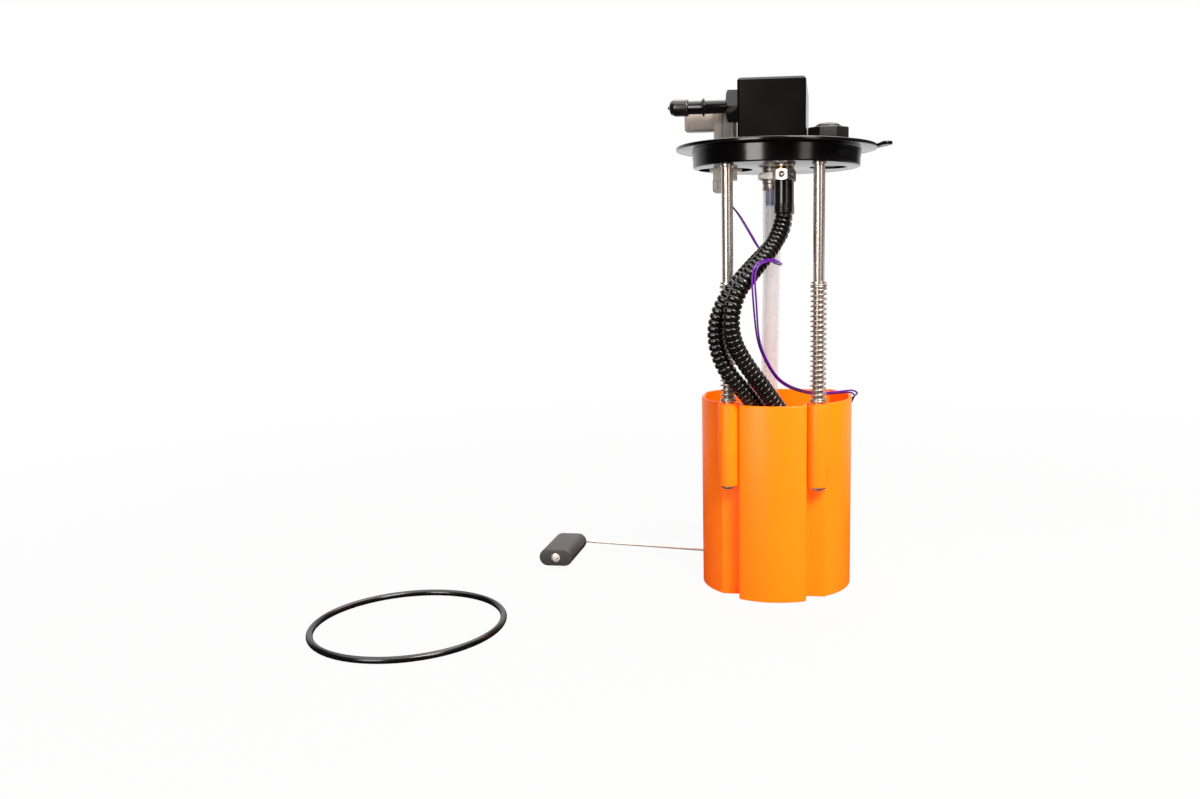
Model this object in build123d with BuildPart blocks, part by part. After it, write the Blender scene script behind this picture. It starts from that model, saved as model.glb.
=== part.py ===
from build123d import *

# In-tank fuel pump module: a flange with its manifold block on two sprung guide rods,
# a pump reservoir that stands on the tank floor, and the hoses, wires and level float
# between them.  Millimetres.  The origin is the centre of the reservoir's base on the
# floor, +X runs from the left rod to the right rod, +Y to the back and +Z up.

import os
from math import radians, tan

os.makedirs("parts", exist_ok=True)

# --- driving dimensions -----------------------------------------------------------------

# clearances
RUNNING_FIT = 0.08          # radial, a shaft that turns or slides in its bore
SEAT_FIT = 0.05             # radial, a piece that sits fixed in its hole
SOFT_GAP = 0.3              # between a rigid piece and a soft or moving one
HEAD_SINK = 0.4             # a screw's head below the face around it
THREAD_SPARE = 0.5          # a threaded hole is this much deeper than its screw
SMALL_CHAMFER = 0.8

# reservoir
RESERVOIR_HEIGHT = 143.0
RESERVOIR_WALL = 2.4
RESERVOIR_FLOOR = 3.0
SIDE_X = 56.3               # half width over the flat sides
SIDE_FRONT_Y = 3.0          # where the flat side ends at the front
SIDE_BACK_Y = 23.5          # where the flat side ends at the back
BACK_Y = 46.0               # flat back wall
BACK_FLAT_X = 40.0          # half width of the flat back
BACK_CORNER = (49.0, 36.3)  # a point on the rounded back corner
FRONT_CHEEK = (51.8, -17.0) # a point on the rounded front cheek
CHEEK_STEP = 1.8            # bevel between the cheek and the notch floor
FRONT_RADIUS = 52.5         # bulged front panel between the notches
NOTCH_HALF_WIDTH = 7.5
NOTCH_FLOOR_Y = -35.2
SHELL_CORNER = 1.6

# guide rods, bushes and springs
ROD_DIAMETER = 8.0
ROD_SPACING = 63.5
ROD_Y = -42.0
ROD_BOTTOM_Z = 81.6
ROD_SOCKET = 8.7            # how far a rod goes up into the flange
ROD_SCREW_DIAMETER = 5.0
ROD_SCREW_LENGTH = 12.0
ROD_SCREW_HEAD = 9.2
ROD_SCREW_HEAD_HEIGHT = 3.2
ROD_SCREW_SOCKET = 4.0
ROD_SCREW_SOCKET_DEPTH = 2.0
ROD_CHAMFER = 0.6
GUIDE_DIAMETER = 14.8
GUIDE_BOTTOM_Z = 84.2
BUSH_DIAMETER = 11.0
BUSH_FLANGE_DIAMETER = 13.0
BUSH_FLANGE = 1.2
CLIP_DIAMETER = 11.6
CLIP_THICKNESS = 1.0
SPRING_WIRE = 1.1
SPRING_COIL = 10.6          # diameter at the middle of the wire
SPRING_TOP_Z = 228.4
SPRING_TURNS = 23
RETAINER_DIAMETER = 11.0
RETAINER_THICKNESS = 1.0

# flange
FLANGE_Z = 310.8            # underside of the skirt
SKIRT_RADIUS = 61.3
SKIRT_HEIGHT = 12.4
SKIRT_RELIEF = 0.7          # the lower part of the skirt is this much smaller
SKIRT_RELIEF_HEIGHT = 6.7
PLATE_RADIUS = 72.8
PLATE_THICKNESS = 2.5
LAND_RADIUS = 58.0
LAND_HEIGHT = 1.8
TAB_REACH = 83.0
TAB_WIDTH = 10.0
TAB_ANGLE = -3.0
POCKET_DEPTH = 7.0
SKIRT_CHAMFER = 1.0
PLATE_EDGE_BELOW = 0.5
PLATE_EDGE_ABOVE = 0.7
LAND_SLOPE = 0.6
FITTING_POCKET_X = 1.25
FITTING_POCKET_Y = -8.5
FITTING_POCKET_WIDTH = 33.0
FITTING_POCKET_LENGTH = 59.0
FITTING_POCKET_CORNER = 8.0

# manifold block
BLOCK_WIDTH = 47.0
BLOCK_DEPTH = 84.0
BLOCK_HEIGHT = 41.0
BLOCK_X = -1.1
BLOCK_CHAMFER = 1.6
BLOCK_SCREW_DIAMETER = 5.0
BLOCK_SCREW_HEAD = 8.5
BLOCK_SCREW_INSET = 7.5
BLOCK_SCREW_BITE = 8.5      # how far a screw goes into the flange
BLOCK_SCREW_SOCKET = 4.6
BLOCK_SCREW_SOCKET_DEPTH = 2.6
PORT_DEPTH = 9.0
GALLERY_DIAMETER = 7.5

# quick connect on the left face of the block
QUICK_CONNECT_Y = -14.0
QUICK_CONNECT_RISE = 25.9       # above the flange's land
QUICK_CONNECT_HEX = 22.2
QUICK_CONNECT_HEX_LENGTH = 9.6
QUICK_CONNECT_HEX_TURN = 24.0   # degrees
QUICK_CONNECT_HEX_SLOPE = 0.4
QUICK_CONNECT_TUBE = 9.53
QUICK_CONNECT_LENGTH = 37.0     # tube beyond the hexagon
QUICK_CONNECT_BORE = 7.0
BEAD_DIAMETER = 12.6
BEAD_WIDTH = 2.2
BEAD_FROM_HEX = 17.0
CAP_DIAMETER = 12.0
CAP_LENGTH = 9.5
CAP_TIP = 4.5
CAP_OVER_TUBE = 9.0
CAP_LIP = 0.2
CAP_LIP_LENGTH = 0.6
CAP_SHOULDER = 3.2
CAP_SHOULDER_RADIUS = 4.44
CAP_NOSE_RADIUS = 1.2
CAP_NOSE = 0.9

# return port plug on the back of the block
PLUG_HEX = 19.0
PLUG_HEIGHT = 6.0
PLUG_THREAD = 14.0
PLUG_RISE = 18.5            # above the flange's land
PLUG_FACE_INSET = 1.5
PLUG_FACE_HEIGHT = 0.8

# vent valve
VALVE_X = 37.4
VALVE_Y = 1.0
VALVE_BASE_FLATS = 29.0
VALVE_BASE_HEIGHT = 11.0
VALVE_CAP_DIAMETER = 18.0
VALVE_CAP_HEIGHT = 3.6
VALVE_STEM_DIAMETER = 16.0
VALVE_POCKET_DIAMETER = 27.0
VALVE_STEM_STOP = 1.0       # above the flange's underside
VALVE_CAP_CROWN = 2.0
VALVE_CAP_SLOPE = 2.9

# electrical bulkhead connector
CONNECTOR_X = -37.6
CONNECTOR_Y = 6.5
CONNECTOR_BODY_WIDTH = 15.8
CONNECTOR_BODY_DEPTH = 15.0
CONNECTOR_HEIGHT = 23.5     # above the flange's land
CONNECTOR_ARM_END_X = -67.0
CONNECTOR_ARM_HEIGHT = 12.0
CONNECTOR_WALL = 1.8
CONNECTOR_ARM_NARROWING = 1.0
CONNECTOR_ARM_CORNER = 1.2
BARREL_REACH = 1.0          # below the flange's underside
CONNECTOR_STEM = 24.0
CONNECTOR_POCKET = 40.0
CIRCLIP_DIAMETER = 34.0
CIRCLIP_THICKNESS = 1.4
CIRCLIP_GAP = 5.0
CIRCLIP_GAP_START = 1.5
TERMINAL_WIDTH = 2.0
TERMINAL_THICKNESS = 0.8
TERMINAL_LENGTH = 12.0
TERMINAL_PITCH_Y = 4.4
TERMINAL_PITCH_Z = 3.4
TERMINAL_SETBACK = 4.0
LOWER_PLUG_WIDTH = 12.0
LOWER_PLUG_DEPTH = 16.0
LOWER_PLUG_X = -40.6
LOWER_PLUG_LENGTH = 15.4
LOWER_PLUG_EDGE = 1.0
PLUG_LOCK_WIDTH = 5.0
PLUG_LOCK_HEIGHT = 5.5
PLUG_LOCK_DEPTH = 9.6
PLUG_LOCK_DROP = 1.0

# fittings under the flange, (x, y) of each
FRONT_FEED = (6.6, -27.0)
REAR_FEED = (6.8, -10.5)
RETURN_PORT = (-3.7, 8.0)
FEED_HEX = 14.0
FEED_COLLAR = 13.4
FITTING_STUD = 11.5
FITTING_HEX_DROP = 2.8      # below the flange's underside
FITTING_HEX_HEIGHT = 8.0
FITTING_CHAMFER = 0.5
FITTING_WALL = 1.5
FITTING_PORT_DEPTH = 7.0
FEED_BARB = 9.0
RETURN_HEX = 18.6
RETURN_HEX_HEIGHT = 5.0
RETURN_FERRULE = 14.2
RETURN_FERRULE_LENGTH = 7.5
RETURN_SLEEVE_LENGTH = 10.9

# hoses, tube and wires
HOSE_DIAMETER = 12.7
HOSE_BORE = 9.0
CUFF_DIAMETER = 13.2
UPPER_CUFF_LENGTH = 23.0
LOWER_CUFF_LENGTH = 12.0
CUFF_RING = 0.35
CUFF_RING_COUNT = 4
CUFF_RING_PITCH = 1.6
CUFF_RING_START = 1.0
TUBE_DIAMETER = 13.1
TUBE_BORE = 9.6
SENDER_WIRE = 1.3
POWER_WIRE = 3.2

# fuel pumps in the reservoir
PUMP_DIAMETER = 38.5
PUMP_X = 6.0                # middle of the pair
PUMP_Y = -3.0
PUMP_SPACING = 41.0
PUMP_CAN_BOTTOM = 18.0
PUMP_CAN_HEIGHT = 54.0
PUMP_CAP_DIAMETER = 35.0
PUMP_CAP_HEIGHT = 4.0
PUMP_EDGE = 1.2
PUMP_INLET_DIAMETER = 17.5
PUMP_OUTLET_OFFSET_X = 9.5    # towards the middle of the pair
PUMP_OUTLET_OFFSET_Y = -10.0
PUMP_OUTLET_SHOULDER = 2.0
PUMP_OUTLET_DIAMETER = 9.0
PUMP_OUTLET_HEIGHT = 11.0
PUMP_OUTLET_BORE = 6.0
PUMP_OUTLET_COLLAR = 1.5
CRADLE_Z = 50.0
CRADLE_THICKNESS = 4.0
CRADLE_MARGIN_X = 2.0
CRADLE_MARGIN_Y = 5.0
CRADLE_CORNER = 17.0
CRADLE_POST = 6.0
CRADLE_POST_REACH = 20.5
STRAINER_HEIGHT = 9.0
STRAINER_DEPTH = 34.0
STRAINER_LENGTH = 78.0
STRAINER_CORNER = 16.0
STRAINER_EDGE = 2.5

# level sender on the back of the reservoir
SENDER_X = 8.0
SENDER_WIDTH = 34.0
SENDER_DEPTH = 9.0
SENDER_BOTTOM = 36.0
SENDER_TOP = 102.0
PIVOT_Z = 62.0
PIVOT_DIAMETER = 5.0
PIVOT_LENGTH = 9.5
HUB_DIAMETER = 12.0
HUB_LENGTH = 6.0
SENDER_SCREW = 3.0
SENDER_SCREW_HEAD = 6.0
SENDER_SCREW_HEAD_HEIGHT = 1.6
SENDER_SCREW_INSET = 6.0
SENDER_CORNER = 4.0
ARM_WIRE = 2.4
ARM_KINK = (-62.0, 5.2)     # (x, z) where the arm comes up off the floor
ARM_BENDS = (6.0, 2.6)      # radius of its two bends
ARM_TIP = 3.0               # beyond the float's front
FLOAT_X = -176.3
FLOAT_Z = 10.4
FLOAT_FRONT_Y = 7.0
FLOAT_LENGTH = 49.0
FLOAT_WIDTH = 27.0
FLOAT_THICKNESS = 13.6
PUSH_NUT_DIAMETER = 6.4
PUSH_NUT_THICKNESS = 0.8

# tank seal, lying beside the module
SEAL_SECTION = 4.4
SEAL_RADIUS = SKIRT_RADIUS + SEAL_SECTION / 2 + SEAT_FIT
SEAL_X = -243.3
SEAL_Y = -123.9

# return nozzle at the bottom of the reservoir
NOZZLE_X = -7.5
NOZZLE_Y = 35.0
NOZZLE_TOP = 30.0
NOZZLE_BASE = 16.0
NOZZLE_SPIGOT = 10.0
NOZZLE_FLOOR = 4.0

# --- values that follow -----------------------------------------------------------------

rod_x = ROD_SPACING / 2
skirt_top = FLANGE_Z + SKIRT_HEIGHT
plate_top = skirt_top + PLATE_THICKNESS
land_top = plate_top + LAND_HEIGHT
block_top = land_top + BLOCK_HEIGHT
block_left = BLOCK_X - BLOCK_WIDTH / 2
block_back = BLOCK_DEPTH / 2
pocket_top = FLANGE_Z + POCKET_DEPTH
bush_top = RESERVOIR_HEIGHT + BUSH_FLANGE
fitting_hex_top = FLANGE_Z - FITTING_HEX_DROP
fitting_hex_bottom = fitting_hex_top - FITTING_HEX_HEIGHT
stud_top = land_top + FITTING_PORT_DEPTH
upper_cuff_bottom = fitting_hex_bottom - UPPER_CUFF_LENGTH
return_hex_bottom = fitting_hex_top - RETURN_HEX_HEIGHT
return_ferrule_bottom = return_hex_bottom - RETURN_FERRULE_LENGTH
return_sleeve_bottom = return_ferrule_bottom - RETURN_SLEEVE_LENGTH
quick_connect_z = land_top + QUICK_CONNECT_RISE
plug_z = land_top + PLUG_RISE
connector_top = land_top + CONNECTOR_HEIGHT
barrel_bottom = FLANGE_Z - BARREL_REACH
lower_plug_bottom = barrel_bottom - LOWER_PLUG_LENGTH
rod_screw_seat = land_top - HEAD_SINK - ROD_SCREW_HEAD_HEIGHT
block_screw_seat = block_top - HEAD_SINK - BLOCK_SCREW_DIAMETER
port_thread = PORT_DEPTH - THREAD_SPARE
port_end_x = block_left + port_thread
hex_end_x = block_left - QUICK_CONNECT_HEX_LENGTH
tube_end_x = hex_end_x - QUICK_CONNECT_LENGTH
pump_can_top = PUMP_CAN_BOTTOM + PUMP_CAN_HEIGHT
pump_top = pump_can_top + PUMP_CAP_HEIGHT
lower_cuff_bottom = pump_top + PUMP_OUTLET_SHOULDER
lower_cuff_top = lower_cuff_bottom + LOWER_CUFF_LENGTH
pump_xs = (PUMP_X - PUMP_SPACING / 2, PUMP_X + PUMP_SPACING / 2)
sender_back = BACK_Y + SENDER_DEPTH
arm_y = sender_back + SOFT_GAP + HUB_LENGTH / 2
rod_points = [(-rod_x, ROD_Y), (rod_x, ROD_Y)]
feed_points = [FRONT_FEED, REAR_FEED]
outlet_y = PUMP_Y + PUMP_OUTLET_OFFSET_Y
outlet_points = [
    (pump_xs[1] - PUMP_OUTLET_OFFSET_X, outlet_y),
    (pump_xs[0] + PUMP_OUTLET_OFFSET_X, outlet_y),
]
block_screw_points = [
    (BLOCK_X + side * (BLOCK_WIDTH / 2 - BLOCK_SCREW_INSET), end * (BLOCK_DEPTH / 2 - BLOCK_SCREW_INSET))
    for side in (-1, 1)
    for end in (-1, 1)
]


# --- helpers ----------------------------------------------------------------------------

def write(part, name):
    """Label a finished sub-part and write its STEP file."""
    part.label = name
    export_step(part, f"parts/{name}.step")


def between(share):
    """Height at a share of the way from the reservoir's rim to the flange."""
    return RESERVOIR_HEIGHT + share * (FLANGE_Z - RESERVOIR_HEIGHT)


def corner_radii(points):
    """Largest tangent arc that the two runs at each corner of a route allow."""
    radii = []
    for before, corner, after in zip(points, points[1:], points[2:]):
        run_in = Vector(*corner) - Vector(*before)
        run_out = Vector(*after) - Vector(*corner)
        half_turn = radians(run_in.get_angle(run_out)) / 2
        radii.append(0.45 * min(run_in.length, run_out.length) / tan(half_turn))
    return radii


def route_part(name, points, outside, bore=0.0):
    """A hose or wire of constant section along straight runs joined by arcs."""
    radii = corner_radii(points)
    with BuildPart() as route:
        with BuildLine():
            path = FilletPolyline(*points, radius=radii)
        with BuildSketch(Plane(origin=path @ 0, z_dir=path % 0)) as section:
            Circle(outside / 2)
            if bore:
                Circle(bore / 2, mode=Mode.SUBTRACT)
        sweep()
    expected = section.sketch.area * path.length
    turns = ", ".join(f"{radius:.1f}" for radius in radii)
    print(f"{name}: length {path.length:.1f}, volume/expected "
          f"{route.part.volume / expected:.4f}, radii {turns}")
    return route.part


def reservoir_plan(inset=0.0):
    """Plan of the reservoir as a face in XY, with every wall moved in by inset."""
    side_x = SIDE_X - inset
    back_y = BACK_Y - inset
    notch_in = rod_x - NOTCH_HALF_WIDTH - inset
    cheek_x = rod_x + NOTCH_HALF_WIDTH - inset * 0.6
    floor_y = NOTCH_FLOOR_Y + inset
    front_radius = FRONT_RADIUS - inset
    panel_y = -((front_radius**2 - notch_in**2) ** 0.5)
    panel_mid_y = -((front_radius**2 - notch_in**2 / 4) ** 0.5)
    corner = (BACK_CORNER[0] - inset, BACK_CORNER[1] - inset * 0.8)
    cheek = (FRONT_CHEEK[0] - inset, FRONT_CHEEK[1] + inset * 0.3)
    with BuildSketch(mode=Mode.PRIVATE) as plan:
        with BuildLine():
            Line((0, back_y), (BACK_FLAT_X, back_y))
            ThreePointArc((BACK_FLAT_X, back_y), corner, (side_x, SIDE_BACK_Y))
            Line((side_x, SIDE_BACK_Y), (side_x, SIDE_FRONT_Y))
            ThreePointArc((side_x, SIDE_FRONT_Y), cheek, (cheek_x, floor_y + CHEEK_STEP))
            Line((cheek_x, floor_y + CHEEK_STEP), (cheek_x - CHEEK_STEP, floor_y))
            Line((cheek_x - CHEEK_STEP, floor_y), (notch_in, floor_y))
            Line((notch_in, floor_y), (notch_in, panel_y))
            ThreePointArc((notch_in, panel_y), (notch_in / 2, panel_mid_y), (0, -front_radius))
            mirror(about=Plane.YZ)
        make_face()
    return plan.sketch


# --- reservoir --------------------------------------------------------------------------

with BuildPart() as reservoir_shell:
    with BuildSketch(Plane.XY):
        add(reservoir_plan())
    extrude(amount=RESERVOIR_HEIGHT)
    fillet(reservoir_shell.edges().filter_by(Axis.Z), SHELL_CORNER)
    with BuildSketch(Plane.XY.offset(RESERVOIR_FLOOR)):
        add(reservoir_plan(RESERVOIR_WALL))
    extrude(amount=RESERVOIR_HEIGHT, mode=Mode.SUBTRACT)
    with BuildSketch(Plane.XY.offset(GUIDE_BOTTOM_Z)):
        with Locations(*rod_points):
            Circle(GUIDE_DIAMETER / 2)
    extrude(amount=RESERVOIR_HEIGHT - GUIDE_BOTTOM_Z)
    with BuildSketch(Plane.XY.offset(GUIDE_BOTTOM_Z)):
        with Locations(*rod_points):
            Circle(BUSH_DIAMETER / 2)
    extrude(amount=RESERVOIR_HEIGHT - GUIDE_BOTTOM_Z, mode=Mode.SUBTRACT)
write(reservoir_shell.part, "reservoir_shell")

with BuildPart() as guide_bushes:
    with BuildSketch(Plane.XY.offset(GUIDE_BOTTOM_Z)):
        with Locations(*rod_points):
            Circle(BUSH_DIAMETER / 2 - SEAT_FIT)
    extrude(amount=RESERVOIR_HEIGHT - GUIDE_BOTTOM_Z)
    with BuildSketch(Plane.XY.offset(RESERVOIR_HEIGHT)):
        with Locations(*rod_points):
            Circle(BUSH_FLANGE_DIAMETER / 2)
    extrude(amount=BUSH_FLANGE)
    with BuildSketch(Plane.XY.offset(GUIDE_BOTTOM_Z)):
        with Locations(*rod_points):
            Circle(ROD_DIAMETER / 2 + RUNNING_FIT)
    extrude(amount=RESERVOIR_HEIGHT, mode=Mode.SUBTRACT)
write(guide_bushes.part, "guide_bushes")

# --- pumps, their cradle and strainer ---------------------------------------------------

with BuildPart() as strainer:
    with BuildSketch(Plane.XY.offset(RESERVOIR_FLOOR)):
        with Locations((PUMP_X, PUMP_Y)):
            RectangleRounded(STRAINER_LENGTH, STRAINER_DEPTH, STRAINER_CORNER)
    extrude(amount=STRAINER_HEIGHT)
    fillet(strainer.edges().group_by(Axis.Z)[-1], STRAINER_EDGE)
write(strainer.part, "strainer")

strainer_top = RESERVOIR_FLOOR + STRAINER_HEIGHT
for side, pump_x in zip(("left", "right"), pump_xs):
    with BuildPart() as pump:
        with BuildSketch(Plane.XY.offset(PUMP_CAN_BOTTOM)):
            with Locations((pump_x, PUMP_Y)):
                Circle(PUMP_DIAMETER / 2)
        extrude(amount=PUMP_CAN_HEIGHT)
        fillet(pump.edges().filter_by(GeomType.CIRCLE), PUMP_EDGE)
        with BuildSketch(Plane.XY.offset(strainer_top)):
            with Locations((pump_x, PUMP_Y)):
                Circle(PUMP_INLET_DIAMETER / 2)
        extrude(amount=PUMP_CAN_BOTTOM - strainer_top)
    write(pump.part, f"{side}_fuel_pump")

with BuildPart() as pump_end_caps:
    with BuildSketch(Plane.XY.offset(pump_can_top)):
        for pump_x in pump_xs:
            with Locations((pump_x, PUMP_Y)):
                Circle(PUMP_CAP_DIAMETER / 2)
    extrude(amount=PUMP_CAP_HEIGHT)
    chamfer(pump_end_caps.edges().group_by(Axis.Z)[-1], SMALL_CHAMFER)
write(pump_end_caps.part, "pump_end_caps")

with BuildPart() as pump_outlets:
    with BuildSketch(Plane.XY.offset(pump_top)):
        with Locations(*outlet_points):
            Circle(PUMP_OUTLET_DIAMETER / 2 + PUMP_OUTLET_COLLAR)
    extrude(amount=lower_cuff_bottom - pump_top)
    with BuildSketch(Plane.XY.offset(lower_cuff_bottom)):
        with Locations(*outlet_points):
            Circle(PUMP_OUTLET_DIAMETER / 2)
    extrude(amount=PUMP_OUTLET_HEIGHT)
    with BuildSketch(Plane.XY.offset(pump_top)):
        with Locations(*outlet_points):
            Circle(PUMP_OUTLET_BORE / 2)
    extrude(amount=PUMP_OUTLET_HEIGHT + PUMP_CAP_HEIGHT, mode=Mode.SUBTRACT)
write(pump_outlets.part, "pump_outlets")

with BuildPart() as pump_cradle:
    with BuildSketch(Plane.XY.offset(CRADLE_Z)):
        with Locations((PUMP_X, PUMP_Y)):
            RectangleRounded(PUMP_SPACING + PUMP_DIAMETER + 2 * CRADLE_MARGIN_X,
                             PUMP_DIAMETER + 2 * CRADLE_MARGIN_Y, CRADLE_CORNER)
    extrude(amount=CRADLE_THICKNESS)
    with BuildSketch(Plane.XY.offset(CRADLE_Z)):
        for pump_x in pump_xs:
            with Locations((pump_x, PUMP_Y)):
                Circle(PUMP_DIAMETER / 2 + SOFT_GAP)
    extrude(amount=CRADLE_THICKNESS, mode=Mode.SUBTRACT)
    with BuildSketch(Plane.XY.offset(RESERVOIR_FLOOR)):
        with Locations((PUMP_X, PUMP_Y + CRADLE_POST_REACH), (PUMP_X, PUMP_Y - CRADLE_POST_REACH)):
            Circle(CRADLE_POST / 2)
    extrude(amount=CRADLE_Z - RESERVOIR_FLOOR)
write(pump_cradle.part, "pump_cradle")

# --- level sender -----------------------------------------------------------------------

pivot_plane = Plane(origin=(SENDER_X, sender_back, PIVOT_Z), x_dir=(1, 0, 0), z_dir=(0, 1, 0))
sender_screw_zs = (SENDER_BOTTOM + SENDER_SCREW_INSET, SENDER_TOP - SENDER_SCREW_INSET)

with BuildPart() as sender_housing:
    with BuildSketch(Plane.XY.offset(SENDER_BOTTOM)):
        with Locations((SENDER_X, BACK_Y + SENDER_DEPTH / 2)):
            Rectangle(SENDER_WIDTH, SENDER_DEPTH)
    extrude(amount=SENDER_TOP - SENDER_BOTTOM)
    fillet(sender_housing.edges().filter_by(Axis.Y), SENDER_CORNER)
    for z in sender_screw_zs:
        with BuildSketch(Plane(origin=(SENDER_X, sender_back, z), z_dir=(0, 1, 0))):
            Circle(SENDER_SCREW / 2 + SEAT_FIT)
        extrude(amount=-SENDER_DEPTH, mode=Mode.SUBTRACT)
    with BuildSketch(pivot_plane):
        Circle(PIVOT_DIAMETER / 2)
    extrude(amount=PIVOT_LENGTH)
write(sender_housing.part, "sender_housing")

with BuildPart() as sender_screws:
    for z in sender_screw_zs:
        with BuildSketch(Plane(origin=(SENDER_X, sender_back, z), z_dir=(0, 1, 0))):
            Circle(SENDER_SCREW / 2)
        extrude(amount=-SENDER_DEPTH)
        with BuildSketch(Plane(origin=(SENDER_X, sender_back, z), z_dir=(0, 1, 0))):
            Circle(SENDER_SCREW_HEAD / 2)
        extrude(amount=SENDER_SCREW_HEAD_HEIGHT)
write(sender_screws.part, "sender_screws")

hub_plane = pivot_plane.offset(SOFT_GAP)
with BuildPart() as arm_hub:
    with BuildSketch(hub_plane):
        Circle(HUB_DIAMETER / 2)
        Circle(PIVOT_DIAMETER / 2 + RUNNING_FIT, mode=Mode.SUBTRACT)
    extrude(amount=HUB_LENGTH)
write(arm_hub.part, "arm_hub")

arm_direction = Vector(ARM_KINK[0] - SENDER_X, 0, ARM_KINK[1] - PIVOT_Z).normalized()
arm_start = Vector(SENDER_X, arm_y, PIVOT_Z) + arm_direction * (HUB_DIAMETER / 2 + SEAT_FIT)
arm_points = [
    arm_start,
    (ARM_KINK[0], arm_y, ARM_KINK[1]),
    (FLOAT_X, arm_y, FLOAT_Z),
    (FLOAT_X, FLOAT_FRONT_Y - ARM_TIP, FLOAT_Z),
]
with BuildPart() as float_arm:
    with BuildLine() as arm_path:
        FilletPolyline(*arm_points, radius=list(ARM_BENDS))
    with BuildSketch(Plane(origin=arm_path.line @ 0, z_dir=arm_path.line % 0)):
        Circle(ARM_WIRE / 2)
    sweep()
write(float_arm.part, "float_arm")

with BuildPart() as level_float:
    with BuildSketch(Plane(origin=(FLOAT_X, FLOAT_FRONT_Y, FLOAT_Z), x_dir=(1, 0, 0), z_dir=(0, 1, 0))):
        SlotOverall(FLOAT_WIDTH, FLOAT_THICKNESS)
        Circle(ARM_WIRE / 2 + SEAT_FIT, mode=Mode.SUBTRACT)
    extrude(amount=FLOAT_LENGTH)
write(level_float.part, "level_float")

with BuildPart() as float_push_nut:
    with BuildSketch(Plane(origin=(FLOAT_X, FLOAT_FRONT_Y, FLOAT_Z), z_dir=(0, -1, 0))):
        Circle(PUSH_NUT_DIAMETER / 2)
        Circle(ARM_WIRE / 2 + SEAT_FIT, mode=Mode.SUBTRACT)
    extrude(amount=PUSH_NUT_THICKNESS)
write(float_push_nut.part, "float_push_nut")

# --- flange -----------------------------------------------------------------------------

relief_top = FLANGE_Z + SKIRT_RELIEF_HEIGHT
relief_radius = SKIRT_RADIUS - SKIRT_RELIEF
with BuildPart() as flange:
    with BuildSketch(Plane.XZ):
        with BuildLine():
            Polyline(
                (0, FLANGE_Z),
                (relief_radius - SKIRT_CHAMFER, FLANGE_Z),
                (relief_radius, FLANGE_Z + SKIRT_CHAMFER),
                (relief_radius, relief_top),
                (SKIRT_RADIUS, relief_top),
                (SKIRT_RADIUS, skirt_top),
                (PLATE_RADIUS - PLATE_EDGE_BELOW, skirt_top),
                (PLATE_RADIUS, skirt_top + PLATE_EDGE_BELOW),
                (PLATE_RADIUS, plate_top - PLATE_EDGE_ABOVE),
                (PLATE_RADIUS - PLATE_EDGE_ABOVE, plate_top),
                (LAND_RADIUS, plate_top),
                (LAND_RADIUS - LAND_SLOPE, land_top),
                (0, land_top),
                close=True,
            )
        make_face()
    revolve(axis=Axis.Z)
    with BuildSketch(Plane.XY.offset(skirt_top)):
        with Locations(Rotation(0, 0, TAB_ANGLE)):
            with Locations((TAB_REACH - TAB_WIDTH / 2, 0)):
                Circle(TAB_WIDTH / 2)
            with Locations((SKIRT_RADIUS + (TAB_REACH - TAB_WIDTH / 2 - SKIRT_RADIUS) / 2, 0)):
                Rectangle(TAB_REACH - TAB_WIDTH / 2 - SKIRT_RADIUS, TAB_WIDTH)
    extrude(amount=PLATE_THICKNESS)
    with BuildSketch(Plane.XY.offset(FLANGE_Z)):
        with Locations((CONNECTOR_X, CONNECTOR_Y)):
            Circle(CONNECTOR_POCKET / 2)
        with Locations((VALVE_X, VALVE_Y)):
            Circle(VALVE_POCKET_DIAMETER / 2)
        with Locations((FITTING_POCKET_X, FITTING_POCKET_Y)):
            RectangleRounded(FITTING_POCKET_WIDTH, FITTING_POCKET_LENGTH, FITTING_POCKET_CORNER)
    extrude(amount=POCKET_DEPTH, mode=Mode.SUBTRACT)
    with BuildSketch(Plane.XY.offset(FLANGE_Z)):
        with Locations(*rod_points):
            Circle(ROD_DIAMETER / 2 + SEAT_FIT)
    extrude(amount=ROD_SOCKET, mode=Mode.SUBTRACT)
    with Locations(*[Location((x, y, land_top)) for x, y in rod_points]):
        CounterBoreHole(
            radius=ROD_SCREW_DIAMETER / 2 + SEAT_FIT,
            counter_bore_radius=ROD_SCREW_HEAD / 2 + SEAT_FIT,
            counter_bore_depth=HEAD_SINK + ROD_SCREW_HEAD_HEIGHT,
            depth=land_top - FLANGE_Z,
        )
    with Locations(*[Location((x, y, land_top)) for x, y in (FRONT_FEED, REAR_FEED, RETURN_PORT)]):
        Hole(FITTING_STUD / 2 + SEAT_FIT)
    with Locations((CONNECTOR_X, CONNECTOR_Y, land_top)):
        Hole(CONNECTOR_STEM / 2 + SEAT_FIT)
    with Locations((VALVE_X, VALVE_Y, land_top)):
        Hole(VALVE_STEM_DIAMETER / 2 + SEAT_FIT)
    with Locations(*[Location((x, y, land_top)) for x, y in block_screw_points]):
        Hole(BLOCK_SCREW_DIAMETER / 2 + SEAT_FIT, depth=BLOCK_SCREW_BITE + THREAD_SPARE)
write(flange.part, "flange")

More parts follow.
